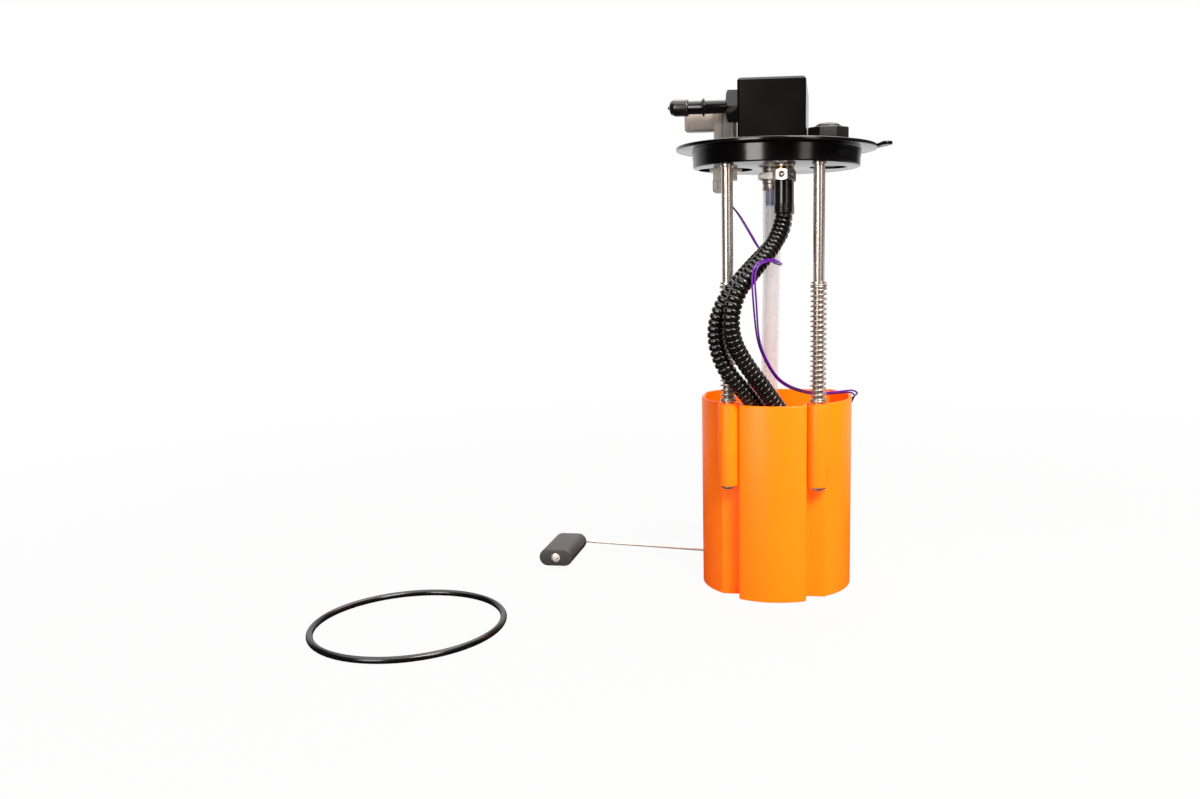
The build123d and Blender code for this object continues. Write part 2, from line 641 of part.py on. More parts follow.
with BuildPart() as rod_screws:
    with BuildSketch(Plane.XY.offset(rod_screw_seat)):
        with Locations(*rod_points):
            Circle(ROD_SCREW_HEAD / 2)
    extrude(amount=ROD_SCREW_HEAD_HEIGHT)
    with BuildSketch(Plane.XY.offset(land_top - HEAD_SINK)):
        with Locations(*rod_points):
            RegularPolygon(ROD_SCREW_SOCKET / 2, 6)
    extrude(amount=-ROD_SCREW_SOCKET_DEPTH, mode=Mode.SUBTRACT)
    with BuildSketch(Plane.XY.offset(rod_screw_seat)):
        with Locations(*rod_points):
            Circle(ROD_SCREW_DIAMETER / 2)
    extrude(amount=-ROD_SCREW_LENGTH)
write(rod_screws.part, "rod_screws")

rod_top = FLANGE_Z + ROD_SOCKET
rod_screw_end = rod_screw_seat - ROD_SCREW_LENGTH
for side, x in (("left", -rod_x), ("right", rod_x)):
    with BuildPart() as guide_rod:
        with BuildSketch(Plane.XY.offset(ROD_BOTTOM_Z)):
            with Locations((x, ROD_Y)):
                Circle(ROD_DIAMETER / 2)
        extrude(amount=rod_top - ROD_BOTTOM_Z)
        chamfer(guide_rod.edges().filter_by(GeomType.CIRCLE), ROD_CHAMFER)
        with BuildSketch(Plane.XY.offset(rod_screw_end)):
            with Locations((x, ROD_Y)):
                Circle(ROD_SCREW_DIAMETER / 2 + SEAT_FIT)
        extrude(amount=rod_top - rod_screw_end, mode=Mode.SUBTRACT)
    write(guide_rod.part, f"{side}_guide_rod")

with BuildPart() as rod_end_clips:
    with BuildSketch(Plane.XY.offset(GUIDE_BOTTOM_Z - SOFT_GAP - CLIP_THICKNESS)):
        with Locations(*rod_points):
            Circle(CLIP_DIAMETER / 2)
            Circle(ROD_DIAMETER / 2 + SEAT_FIT, mode=Mode.SUBTRACT)
    extrude(amount=CLIP_THICKNESS)
write(rod_end_clips.part, "rod_end_clips")

with BuildPart() as spring_retainers:
    with BuildSketch(Plane.XY.offset(SPRING_TOP_Z + SEAT_FIT)):
        with Locations(*rod_points):
            Circle(RETAINER_DIAMETER / 2)
            Circle(ROD_DIAMETER / 2 + SEAT_FIT, mode=Mode.SUBTRACT)
    extrude(amount=RETAINER_THICKNESS)
write(spring_retainers.part, "spring_retainers")

spring_bottom = bush_top + SPRING_WIRE / 2 + SOFT_GAP
spring_length = SPRING_TOP_Z - SPRING_WIRE / 2 - SOFT_GAP - spring_bottom
for side, x in (("left", -rod_x), ("right", rod_x)):
    with BuildPart() as spring:
        with BuildLine() as coil:
            Helix(pitch=spring_length / SPRING_TURNS, height=spring_length, radius=SPRING_COIL / 2,
                  center=(x, ROD_Y, spring_bottom))
        with BuildSketch(Plane(origin=coil.line @ 0, z_dir=coil.line % 0)):
            Circle(SPRING_WIRE / 2)
        sweep(is_frenet=True)
    write(spring.part, f"{side}_spring")

# --- manifold block ---------------------------------------------------------------------

with BuildPart() as manifold_block:
    with BuildSketch(Plane.XY.offset(land_top)):
        with Locations((BLOCK_X, 0)):
            Rectangle(BLOCK_WIDTH, BLOCK_DEPTH)
    extrude(amount=BLOCK_HEIGHT)
    chamfer(manifold_block.edges(), BLOCK_CHAMFER)
    with Locations(*[Location((x, y, block_top)) for x, y in block_screw_points]):
        CounterBoreHole(
            radius=BLOCK_SCREW_DIAMETER / 2 + SEAT_FIT,
            counter_bore_radius=BLOCK_SCREW_HEAD / 2 + SEAT_FIT,
            counter_bore_depth=BLOCK_SCREW_DIAMETER + HEAD_SINK,
        )
    with BuildSketch(Plane.XY.offset(land_top)):
        with Locations(FRONT_FEED, REAR_FEED, RETURN_PORT):
            Circle(FITTING_STUD / 2 + SEAT_FIT)
    extrude(amount=FITTING_PORT_DEPTH, mode=Mode.SUBTRACT)
    with BuildSketch(Plane.XY.offset(land_top)):
        with Locations(FRONT_FEED, REAR_FEED):
            Circle(GALLERY_DIAMETER / 2)
    extrude(amount=quick_connect_z - land_top, mode=Mode.SUBTRACT)
    with BuildSketch(Plane.XY.offset(land_top)):
        with Locations(RETURN_PORT):
            Circle(GALLERY_DIAMETER / 2)
    extrude(amount=plug_z - land_top, mode=Mode.SUBTRACT)
    with BuildSketch(Plane(origin=(FRONT_FEED[0], FRONT_FEED[1], quick_connect_z), z_dir=(0, 1, 0))):
        Circle(GALLERY_DIAMETER / 2)
    extrude(amount=REAR_FEED[1] - FRONT_FEED[1], mode=Mode.SUBTRACT)
    with BuildSketch(Plane(origin=(block_left, QUICK_CONNECT_Y, quick_connect_z), z_dir=(1, 0, 0))):
        Circle(GALLERY_DIAMETER / 2)
    extrude(amount=FRONT_FEED[0] - block_left, mode=Mode.SUBTRACT)
    with BuildSketch(Plane(origin=(block_left, QUICK_CONNECT_Y, quick_connect_z), z_dir=(1, 0, 0))):
        Circle(FITTING_STUD / 2 + SEAT_FIT)
    extrude(amount=PORT_DEPTH, mode=Mode.SUBTRACT)
    with BuildSketch(Plane(origin=(RETURN_PORT[0], block_back, plug_z), z_dir=(0, -1, 0))):
        Circle(GALLERY_DIAMETER / 2)
    extrude(amount=block_back - RETURN_PORT[1], mode=Mode.SUBTRACT)
    with BuildSketch(Plane(origin=(RETURN_PORT[0], block_back, plug_z), z_dir=(0, -1, 0))):
        Circle(PLUG_THREAD / 2 + SEAT_FIT)
    extrude(amount=PORT_DEPTH, mode=Mode.SUBTRACT)
write(manifold_block.part, "manifold_block")

with BuildPart() as block_screws:
    with BuildSketch(Plane.XY.offset(block_screw_seat)):
        with Locations(*block_screw_points):
            Circle(BLOCK_SCREW_HEAD / 2)
    extrude(amount=BLOCK_SCREW_DIAMETER)
    with BuildSketch(Plane.XY.offset(block_screw_seat + BLOCK_SCREW_DIAMETER)):
        with Locations(*block_screw_points):
            RegularPolygon(BLOCK_SCREW_SOCKET / 2, 6)
    extrude(amount=-BLOCK_SCREW_SOCKET_DEPTH, mode=Mode.SUBTRACT)
    with BuildSketch(Plane.XY.offset(land_top - BLOCK_SCREW_BITE)):
        with Locations(*block_screw_points):
            Circle(BLOCK_SCREW_DIAMETER / 2)
    extrude(amount=block_screw_seat - land_top + BLOCK_SCREW_BITE)
write(block_screws.part, "block_screws")

with BuildPart() as port_plug:
    with BuildSketch(Plane(origin=(RETURN_PORT[0], block_back, plug_z), z_dir=(0, 1, 0))):
        RegularPolygon(PLUG_HEX / 2, 6, major_radius=False)
    extrude(amount=PLUG_HEIGHT)
    with BuildSketch(Plane(origin=(RETURN_PORT[0], block_back + PLUG_HEIGHT, plug_z), z_dir=(0, 1, 0))):
        Circle(PLUG_HEX / 2 - PLUG_FACE_INSET)
    extrude(amount=PLUG_FACE_HEIGHT)
    with BuildSketch(Plane(origin=(RETURN_PORT[0], block_back, plug_z), z_dir=(0, -1, 0))):
        Circle(PLUG_THREAD / 2)
    extrude(amount=port_thread)
write(port_plug.part, "port_plug")

# --- quick connect and its dust cap -----------------------------------------------------

bead_x = hex_end_x - BEAD_FROM_HEX
with BuildPart() as quick_connect:
    hex_plane = Plane(origin=(block_left, QUICK_CONNECT_Y, quick_connect_z), x_dir=(0, 1, 0), z_dir=(-1, 0, 0))
    with BuildSketch(hex_plane):
        RegularPolygon(QUICK_CONNECT_HEX / 2, 6, major_radius=False, rotation=QUICK_CONNECT_HEX_TURN)
    extrude(amount=QUICK_CONNECT_HEX_LENGTH)
    with BuildSketch(Plane.XZ.offset(-QUICK_CONNECT_Y)):
        with BuildLine():
            Polyline(
                (port_end_x, quick_connect_z),
                (port_end_x, quick_connect_z + FITTING_STUD / 2),
                (block_left, quick_connect_z + FITTING_STUD / 2),
                (block_left, quick_connect_z + QUICK_CONNECT_HEX / 2),
                (hex_end_x, quick_connect_z + QUICK_CONNECT_HEX / 2 - QUICK_CONNECT_HEX_SLOPE),
                (hex_end_x, quick_connect_z + QUICK_CONNECT_TUBE / 2),
                (bead_x + BEAD_WIDTH / 2, quick_connect_z + QUICK_CONNECT_TUBE / 2),
                (bead_x + BEAD_WIDTH / 4, quick_connect_z + BEAD_DIAMETER / 2),
                (bead_x - BEAD_WIDTH / 4, quick_connect_z + BEAD_DIAMETER / 2),
                (bead_x - BEAD_WIDTH / 2, quick_connect_z + QUICK_CONNECT_TUBE / 2),
                (tube_end_x + SMALL_CHAMFER, quick_connect_z + QUICK_CONNECT_TUBE / 2),
                (tube_end_x, quick_connect_z + QUICK_CONNECT_TUBE / 2 - SMALL_CHAMFER),
                (tube_end_x, quick_connect_z),
                close=True,
            )
        make_face()
    revolve(axis=Axis((0, QUICK_CONNECT_Y, quick_connect_z), (1, 0, 0)))
    with BuildSketch(Plane(origin=(tube_end_x, QUICK_CONNECT_Y, quick_connect_z), z_dir=(1, 0, 0))):
        Circle(QUICK_CONNECT_BORE / 2)
    extrude(amount=port_end_x - tube_end_x, mode=Mode.SUBTRACT)
write(quick_connect.part, "quick_connect")

cap_mouth_x = tube_end_x + CAP_OVER_TUBE
cap_inner = QUICK_CONNECT_TUBE / 2 + RUNNING_FIT
with BuildPart() as dust_cap:
    with BuildSketch(Plane.XZ.offset(-QUICK_CONNECT_Y)):
        with BuildLine():
            Polyline(
                (cap_mouth_x, quick_connect_z + cap_inner),
                (cap_mouth_x, quick_connect_z + CAP_DIAMETER / 2 - CAP_LIP),
                (cap_mouth_x - CAP_LIP_LENGTH, quick_connect_z + CAP_DIAMETER / 2),
                (cap_mouth_x - CAP_LENGTH, quick_connect_z + CAP_DIAMETER / 2),
                (cap_mouth_x - CAP_LENGTH - CAP_SHOULDER, quick_connect_z + CAP_SHOULDER_RADIUS),
                (cap_mouth_x - CAP_LENGTH - CAP_TIP, quick_connect_z + CAP_NOSE_RADIUS),
                (cap_mouth_x - CAP_LENGTH - CAP_TIP - CAP_NOSE, quick_connect_z),
                (tube_end_x - SOFT_GAP, quick_connect_z),
                (tube_end_x - SOFT_GAP, quick_connect_z + cap_inner),
                close=True,
            )
        make_face()
    revolve(axis=Axis((0, QUICK_CONNECT_Y, quick_connect_z), (1, 0, 0)))
write(dust_cap.part, "dust_cap")

# --- vent valve -------------------------------------------------------------------------

valve_base_top = land_top + VALVE_BASE_HEIGHT
with BuildPart() as vent_valve_base:
    with BuildSketch(Plane.XY.offset(land_top)):
        with Locations((VALVE_X, VALVE_Y)):
            RegularPolygon(VALVE_BASE_FLATS / 2, 8, major_radius=False, rotation=22.5)
    extrude(amount=VALVE_BASE_HEIGHT)
    chamfer(vent_valve_base.edges().group_by(Axis.Z)[-1], SMALL_CHAMFER)
    with BuildSketch(Plane.XY.offset(land_top)):
        with Locations((VALVE_X, VALVE_Y)):
            Circle(VALVE_STEM_DIAMETER / 2)
    extrude(amount=FLANGE_Z + VALVE_STEM_STOP - land_top)
write(vent_valve_base.part, "vent_valve_base")

with BuildPart() as vent_valve_cap:
    with BuildSketch(Plane.XY.offset(valve_base_top)):
        with Locations((VALVE_X, VALVE_Y)):
            Circle(VALVE_CAP_DIAMETER / 2)
    extrude(amount=VALVE_CAP_HEIGHT)
    chamfer(vent_valve_cap.edges().group_by(Axis.Z)[-1], VALVE_CAP_CROWN, VALVE_CAP_SLOPE)
write(vent_valve_cap.part, "vent_valve_cap")

# --- bulkhead connector -----------------------------------------------------------------

arm_root_x = CONNECTOR_X - CONNECTOR_BODY_WIDTH / 2
arm_mid = connector_top - CONNECTOR_ARM_HEIGHT / 2
circlip_z = pocket_top - SEAT_FIT - CIRCLIP_THICKNESS
arm_face = Plane(origin=(CONNECTOR_ARM_END_X, CONNECTOR_Y, arm_mid), x_dir=(0, 1, 0), z_dir=(-1, 0, 0))
cavity_depth = TERMINAL_LENGTH + TERMINAL_SETBACK
arm_width = CONNECTOR_BODY_DEPTH - CONNECTOR_ARM_NARROWING
with BuildPart() as bulkhead_connector:
    with BuildSketch(Plane.XY.offset(land_top)):
        with Locations((CONNECTOR_X, CONNECTOR_Y)):
            Rectangle(CONNECTOR_BODY_WIDTH, CONNECTOR_BODY_DEPTH)
    extrude(amount=connector_top - land_top)
    with BuildSketch(arm_face):
        RectangleRounded(arm_width, CONNECTOR_ARM_HEIGHT, CONNECTOR_ARM_CORNER)
    extrude(amount=-(arm_root_x - CONNECTOR_ARM_END_X))
    with BuildSketch(arm_face):
        Rectangle(arm_width - 2 * CONNECTOR_WALL, CONNECTOR_ARM_HEIGHT - 2 * CONNECTOR_WALL)
    extrude(amount=-cavity_depth, mode=Mode.SUBTRACT)
    with BuildSketch(Plane.XY.offset(barrel_bottom)):
        with Locations((CONNECTOR_X, CONNECTOR_Y)):
            Circle(CONNECTOR_STEM / 2)
    extrude(amount=land_top - barrel_bottom)
write(bulkhead_connector.part, "bulkhead_connector")

with BuildPart() as connector_terminals:
    with BuildSketch(arm_face.offset(-cavity_depth)):
        with GridLocations(TERMINAL_PITCH_Y, TERMINAL_PITCH_Z, 2, 2):
            Rectangle(TERMINAL_WIDTH, TERMINAL_THICKNESS)
    extrude(amount=TERMINAL_LENGTH)
write(connector_terminals.part, "connector_terminals")

with BuildPart() as connector_circlip:
    with BuildSketch(Plane.XY.offset(circlip_z)):
        with Locations((CONNECTOR_X, CONNECTOR_Y)):
            Circle(CIRCLIP_DIAMETER / 2)
            Circle(CONNECTOR_STEM / 2 + SEAT_FIT, mode=Mode.SUBTRACT)
        with Locations((CONNECTOR_X + CONNECTOR_STEM / 2 + CIRCLIP_GAP_START, CONNECTOR_Y)):
            Rectangle(CIRCLIP_DIAMETER / 2, CIRCLIP_GAP, mode=Mode.SUBTRACT)
    extrude(amount=CIRCLIP_THICKNESS)
write(connector_circlip.part, "connector_circlip")

with BuildPart() as lower_plug:
    with BuildSketch(Plane.XY.offset(lower_plug_bottom)):
        with Locations((LOWER_PLUG_X, CONNECTOR_Y)):
            Rectangle(LOWER_PLUG_WIDTH, LOWER_PLUG_DEPTH)
    extrude(amount=barrel_bottom - lower_plug_bottom)
    fillet(lower_plug.edges().filter_by(Axis.Z), LOWER_PLUG_EDGE)
    chamfer(lower_plug.edges().group_by(Axis.Z)[0], LOWER_PLUG_EDGE)
write(lower_plug.part, "lower_plug")

with BuildPart() as plug_lock:
    with BuildSketch(Plane.XY.offset(barrel_bottom - PLUG_LOCK_DROP - PLUG_LOCK_HEIGHT)):
        with Locations((LOWER_PLUG_X + LOWER_PLUG_WIDTH / 2 + PLUG_LOCK_WIDTH / 2, CONNECTOR_Y)):
            Rectangle(PLUG_LOCK_WIDTH, PLUG_LOCK_DEPTH)
    extrude(amount=PLUG_LOCK_HEIGHT)
write(plug_lock.part, "plug_lock")

# --- fittings, cuffs and the return tube's ends -----------------------------------------

for name, (x, y) in (("front_feed_fitting", FRONT_FEED), ("rear_feed_fitting", REAR_FEED)):
    with BuildPart() as fitting:
        with BuildSketch(Plane.XY.offset(fitting_hex_bottom)):
            with Locations((x, y)):
                RegularPolygon(FEED_HEX / 2, 6, major_radius=False)
        extrude(amount=FITTING_HEX_HEIGHT)
        chamfer(fitting.edges().group_by(Axis.Z)[0], FITTING_CHAMFER)
        with BuildSketch(Plane.XY.offset(fitting_hex_top)):
            with Locations((x, y)):
                Circle(FEED_COLLAR / 2)
        extrude(amount=pocket_top - fitting_hex_top)
        with BuildSketch(Plane.XY.offset(pocket_top)):
            with Locations((x, y)):
                Circle(FITTING_STUD / 2)
        extrude(amount=stud_top - pocket_top)
        with BuildSketch(Plane.XY.offset(upper_cuff_bottom)):
            with Locations((x, y)):
                Circle(FEED_BARB / 2)
        extrude(amount=fitting_hex_bottom - upper_cuff_bottom)
        with BuildSketch(Plane.XY.offset(upper_cuff_bottom)):
            with Locations((x, y)):
                Circle(FEED_BARB / 2 - FITTING_WALL)
        extrude(amount=stud_top - upper_cuff_bottom, mode=Mode.SUBTRACT)
    write(fitting.part, name)

with BuildPart() as return_fitting:
    with BuildSketch(Plane.XY.offset(return_hex_bottom)):
        with Locations(RETURN_PORT):
            RegularPolygon(RETURN_HEX / 2, 6, major_radius=False)
    extrude(amount=RETURN_HEX_HEIGHT)
    with BuildSketch(Plane.XY.offset(return_ferrule_bottom)):
        with Locations(RETURN_PORT):
            Circle(RETURN_FERRULE / 2)
    extrude(amount=return_hex_bottom - return_ferrule_bottom)
    with BuildSketch(Plane.XY.offset(fitting_hex_top)):
        with Locations(RETURN_PORT):
            Circle(RETURN_FERRULE / 2)
    extrude(amount=pocket_top - fitting_hex_top)
    with BuildSketch(Plane.XY.offset(pocket_top)):
        with Locations(RETURN_PORT):
            Circle(FITTING_STUD / 2)
    extrude(amount=stud_top - pocket_top)
    with BuildSketch(Plane.XY.offset(return_ferrule_bottom)):
        with Locations(RETURN_PORT):
            Circle(TUBE_BORE / 2 - FITTING_WALL)
    extrude(amount=stud_top - return_ferrule_bottom, mode=Mode.SUBTRACT)
write(return_fitting.part, "return_fitting")

with BuildPart() as return_sleeve:
    with BuildSketch(Plane.XY.offset(return_sleeve_bottom)):
        with Locations(RETURN_PORT):
            Circle(TUBE_BORE / 2 - SEAT_FIT)
            Circle(TUBE_BORE / 2 - FITTING_WALL, mode=Mode.SUBTRACT)
    extrude(amount=return_ferrule_bottom - return_sleeve_bottom)
write(return_sleeve.part, "return_sleeve")

with BuildPart() as upper_hose_cuffs:
    for x, y in feed_points:
        with BuildSketch(Plane.XY.offset(upper_cuff_bottom)):
            with Locations((x, y)):
                Circle(CUFF_DIAMETER / 2)
                Circle(FEED_BARB / 2 + SEAT_FIT, mode=Mode.SUBTRACT)
        extrude(amount=fitting_hex_bottom - upper_cuff_bottom)
        for ring in range(CUFF_RING_COUNT):
            with BuildSketch(Plane.XY.offset(upper_cuff_bottom + CUFF_RING_START + ring * CUFF_RING_PITCH)):
                with Locations((x, y)):
                    Circle(CUFF_DIAMETER / 2 + CUFF_RING)
                    Circle(FEED_BARB / 2 + SEAT_FIT, mode=Mode.SUBTRACT)
            extrude(amount=CUFF_RING_PITCH / 2)
write(upper_hose_cuffs.part, "upper_hose_cuffs")

with BuildPart() as lower_hose_cuffs:
    with BuildSketch(Plane.XY.offset(lower_cuff_bottom)):
        with Locations(*outlet_points):
            Circle(CUFF_DIAMETER / 2)
            Circle(PUMP_OUTLET_DIAMETER / 2 + SEAT_FIT, mode=Mode.SUBTRACT)
    extrude(amount=LOWER_CUFF_LENGTH)
write(lower_hose_cuffs.part, "lower_hose_cuffs")

with BuildPart() as return_nozzle:
    with BuildSketch(Plane.XY.offset(RESERVOIR_FLOOR)):
        with Locations((NOZZLE_X, NOZZLE_Y)):
            Circle(NOZZLE_BASE / 2)
    extrude(amount=NOZZLE_TOP - RESERVOIR_FLOOR)
    with BuildSketch(Plane.XY.offset(NOZZLE_TOP)):
        with Locations((NOZZLE_X, NOZZLE_Y)):
            Circle(TUBE_BORE / 2 - SEAT_FIT)
    extrude(amount=NOZZLE_SPIGOT)
    with BuildSketch(Plane.XY.offset(RESERVOIR_FLOOR + NOZZLE_FLOOR)):
        with Locations((NOZZLE_X, NOZZLE_Y)):
            Circle(TUBE_BORE / 2 - FITTING_WALL)
    extrude(amount=NOZZLE_TOP, mode=Mode.SUBTRACT)
write(return_nozzle.part, "return_nozzle")

# --- hoses, tube and wires --------------------------------------------------------------

front_hose_points = [
    (*FRONT_FEED, upper_cuff_bottom),
    (*FRONT_FEED, between(0.7449)),
    (4.4, -32.5, between(0.6943)),
    (-1.5, -45.0, between(0.6466)),
    (-8.5, -57.5, between(0.5930)),
    (-15.5, -66.0, between(0.5393)),
    (-22.5, -69.5, between(0.4797)),
    (-27.3, -70.0, between(0.3784)),
    (-26.3, -66.0, between(0.2831)),
    (-18.5, -57.5, between(0.1847)),
    (-7.8, -51.0, between(0.0924)),
    (2.0, -40.5, 142.5),
    (9.0, -27.5, 129.5),
    (15.5, -16.5, 116.0),
    (*outlet_points[0], 102.0),
    (*outlet_points[0], lower_cuff_top),
]
rear_hose_points = [
    (*REAR_FEED, upper_cuff_bottom),
    (*REAR_FEED, between(0.7271)),
    (3.0, -17.5, between(0.6645)),
    (-3.5, -27.5, between(0.6228)),
    (-11.5, -39.5, between(0.5840)),
    (-22.0, -52.0, between(0.5244)),
    (-33.0, -57.0, between(0.4410)),
    (-39.3, -57.5, between(0.3367)),
    (-37.5, -58.0, between(0.2324)),
    (-30.8, -56.8, between(0.1430)),
    (-21.2, -50.2, between(0.0703)),
    (-12.5, -37.0, 141.5),
    (-7.0, -25.5, 128.5),
    (-5.4, -15.5, 115.5),
    (*outlet_points[1], 102.0),
    (*outlet_points[1], lower_cuff_top),
]
return_tube_points = [
    (*RETURN_PORT, return_ferrule_bottom),
    (*RETURN_PORT, between(0.7449)),
    (-4.2, 12.0, between(0.4887)),
    (-5.8, 22.0, between(0.1907)),
    (-7.3, 33.0, 125.0),
    (NOZZLE_X, NOZZLE_Y, 78.0),
    (NOZZLE_X, NOZZLE_Y, NOZZLE_TOP),
]
hose_routes = {
    "front_feed_hose": (front_hose_points, HOSE_DIAMETER, HOSE_BORE),
    "rear_feed_hose": (rear_hose_points, HOSE_DIAMETER, HOSE_BORE),
    "return_tube": (return_tube_points, TUBE_DIAMETER, TUBE_BORE),
}
for name, (points, outside, bore) in hose_routes.items():
    write(route_part(name, points, outside, bore), name)

sender_side_x = SENDER_X + SENDER_WIDTH / 2
wire_routes = {
    "sender_wire_front": [
        (-37.4, 2.0, lower_plug_bottom),
        (-37.4, 2.0, between(0.8731)),
        (-34.4, -6.5, between(0.8522)),
        (-28.9, -14.0, between(0.8248)),
        (-20.0, -15.5, between(0.7390)),
        (-12.5, -14.0, between(0.6585)),
        (-4.5, -15.5, between(0.6108)),
        (2.5, -23.5, between(0.5870)),
        (4.7, -35.5, between(0.5858)),
        (5.0, -47.5, between(0.5971)),
        (2.4, -58.0, between(0.6174)),
        (-2.8, -64.5, between(0.6210)),
        (-8.4, -69.0, between(0.6007)),
        (-11.0, -71.5, between(0.5602)),
        (-11.8, -72.5, between(0.5095)),
        (-10.6, -70.0, between(0.4499)),
        (-9.9, -65.0, between(0.3903)),
        (-8.7, -58.0, between(0.3075)),
        (-6.1, -51.0, between(0.2461)),
        (-1.7, -44.0, between(0.1877)),
        (4.0, -37.0, between(0.1311)),
        (9.5, -31.0, between(0.0954)),
        (17.8, -25.0, between(0.0673)),
        (27.7, -18.0, between(0.0369)),
        (38.0, -9.5, between(0.0238)),
        (48.0, -0.5, between(0.0203)),
        (55.6, 7.2, between(0.0173)),
        (59.0, 12.8, 142.6),
        (58.4, 20.5, 137.0),
        (56.0, 30.5, 127.5),
        (50.2, 41.5, 114.0),
        (41.5, 49.0, 102.0),
        (34.0, 50.6, 95.0),
        (sender_side_x, 50.6, 95.0),
    ],
    "sender_wire_rear": [
        (-37.4, 6.0, lower_plug_bottom),
        (-37.4, 6.0, between(0.8641)),
        (-33.4, -3.6, between(0.8415)),
        (-27.4, -11.4, between(0.8141)),
        (-18.2, -12.6, between(0.7265)),
        (-10.8, -11.4, between(0.6460)),
        (-3.0, -13.0, between(0.5995)),
        (4.6, -22.4, between(0.5763)),
        (6.9, -35.2, between(0.5757)),
        (7.2, -47.9, between(0.5876)),
        (4.2, -59.2, between(0.6114)),
        (-1.6, -66.4, between(0.6174)),
        (-6.8, -71.2, between(0.5948)),
        (-9.0, -73.0, between(0.5530)),
        (-9.9, -73.6, between(0.5042)),
        (-8.7, -70.9, between(0.4470)),
        (-8.0, -65.8, between(0.3897)),
        (-6.9, -59.0, between(0.3099)),
        (-4.4, -52.0, between(0.2515)),
        (-0.1, -45.2, between(0.1937)),
        (5.6, -38.2, between(0.1371)),
        (11.1, -32.2, between(0.1013)),
        (19.4, -26.2, between(0.0739)),
        (29.2, -19.2, between(0.0441)),
        (39.4, -10.8, between(0.0310)),
        (49.5, -2.0, between(0.0286)),
        (57.4, 6.2, between(0.0286)),
        (60.8, 12.4, between(0.0095)),
        (60.4, 20.8, 138.6),
        (58.0, 31.6, 128.6),
        (51.9, 43.1, 114.8),
        (43.0, 51.5, 98.5),
        (34.0, 53.0, 89.5),
        (sender_side_x, 53.0, 89.5),
    ],
    "power_wire_positive": [
        (-37.4, 9.2, lower_plug_bottom),
        (-37.4, 9.2, between(0.8343)),
        (-37.3, 7.0, between(0.7092)),
        (-36.6, 1.5, between(0.5662)),
        (-35.6, -9.0, between(0.4112)),
        (-34.0, -14.5, between(0.2682)),
        (-27.0, -12.5, between(0.1311)),
        (-15.0, -11.0, between(0.0417)),
        (-4.0, -15.5, 138.0),
        (3.5, -16.5, 122.0),
        (9.0, -8.0, 106.0),
        (14.0, 4.0, 92.0),
        (14.0, 4.0, pump_top),
    ],
    "power_wire_negative": [
        (-39.0, 12.6, lower_plug_bottom),
        (-39.0, 12.6, between(0.8343)),
        (-38.7, 11.4, between(0.6973)),
        (-37.8, 6.3, between(0.5542)),
        (-36.2, -3.5, between(0.4052)),
        (-34.5, -8.5, between(0.2503)),
        (-28.0, -4.0, between(0.1192)),
        (-20.0, 1.5, between(0.0179)),
        (-16.0, 6.0, 126.0),
        (-15.5, 8.0, 100.0),
        (-15.5, 8.0, pump_top),
    ],
}
for name, points in wire_routes.items():
    wire_diameter = POWER_WIRE if name.startswith("power") else SENDER_WIRE
    write(route_part(name, points, wire_diameter), name)

# --- tank seal --------------------------------------------------------------------------

with BuildPart() as tank_seal:
    with BuildSketch(Plane(origin=(SEAL_X, SEAL_Y, SEAL_SECTION / 2), x_dir=(1, 0, 0), z_dir=(0, -1, 0))):
        with Locations((SEAL_RADIUS, 0)):
            Circle(SEAL_SECTION / 2)
    revolve(axis=Axis((SEAL_X, SEAL_Y, 0), (0, 0, 1)))
write(tank_seal.part, "tank_seal")
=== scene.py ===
import logging
import math
from dataclasses import dataclass
from enum import Enum
from functools import partial
from typing import Callable, Iterable, Sequence, TypeAlias

import bpy
import numpy as np
from mathutils import Matrix, Vector


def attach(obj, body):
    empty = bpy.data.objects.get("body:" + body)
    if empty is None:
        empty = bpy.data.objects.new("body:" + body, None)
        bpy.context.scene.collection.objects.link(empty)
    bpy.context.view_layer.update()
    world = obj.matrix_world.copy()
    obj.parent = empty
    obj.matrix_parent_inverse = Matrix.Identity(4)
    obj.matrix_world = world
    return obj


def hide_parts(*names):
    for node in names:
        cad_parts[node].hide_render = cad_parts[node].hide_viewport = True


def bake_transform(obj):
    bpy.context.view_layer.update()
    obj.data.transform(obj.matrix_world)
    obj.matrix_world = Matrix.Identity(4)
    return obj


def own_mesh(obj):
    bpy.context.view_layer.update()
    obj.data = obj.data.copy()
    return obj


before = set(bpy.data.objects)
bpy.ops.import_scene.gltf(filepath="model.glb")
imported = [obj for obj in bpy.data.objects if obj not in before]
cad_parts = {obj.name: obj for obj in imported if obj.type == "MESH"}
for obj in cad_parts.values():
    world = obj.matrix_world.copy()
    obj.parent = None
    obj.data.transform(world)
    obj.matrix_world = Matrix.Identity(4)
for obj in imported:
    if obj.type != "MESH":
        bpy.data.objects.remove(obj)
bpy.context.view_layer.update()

log = logging.getLogger("fuel_pump_module")

Point: TypeAlias = tuple[float, float, float]
Flat: TypeAlias = tuple[float, float]
Piece: TypeAlias = bpy.types.Object
Number: TypeAlias = "Value | float"

MM = 0.001

# Places and heights that several sub-assemblies share, in millimetres.
ROD = (31.75, -42.0)
FRONT_FEED = (6.6, -27.0)
REAR_FEED = (6.8, -10.5)
RETURN_PORT = (-3.7, 8.0)
CONNECTOR = (-37.6, 6.5)
VALVE = (37.4, 1.0)
RIM = 143.0
CUFF_BOTTOM = 277.0
PLUG_BOTTOM = 294.4
FERRULE_BOTTOM = 295.5
FLANGE_BOTTOM = 310.8
LAND = 327.5


# --- names -----------------------------------------------------------------------------------------


class Body(Enum):
    """The bodies of the frame that a piece can ride on."""

    RESERVOIR = "reservoir"
    HANGER = "hanger"
    FLOAT_ARM = "float_arm"
    DUST_CAP = "dust_cap"


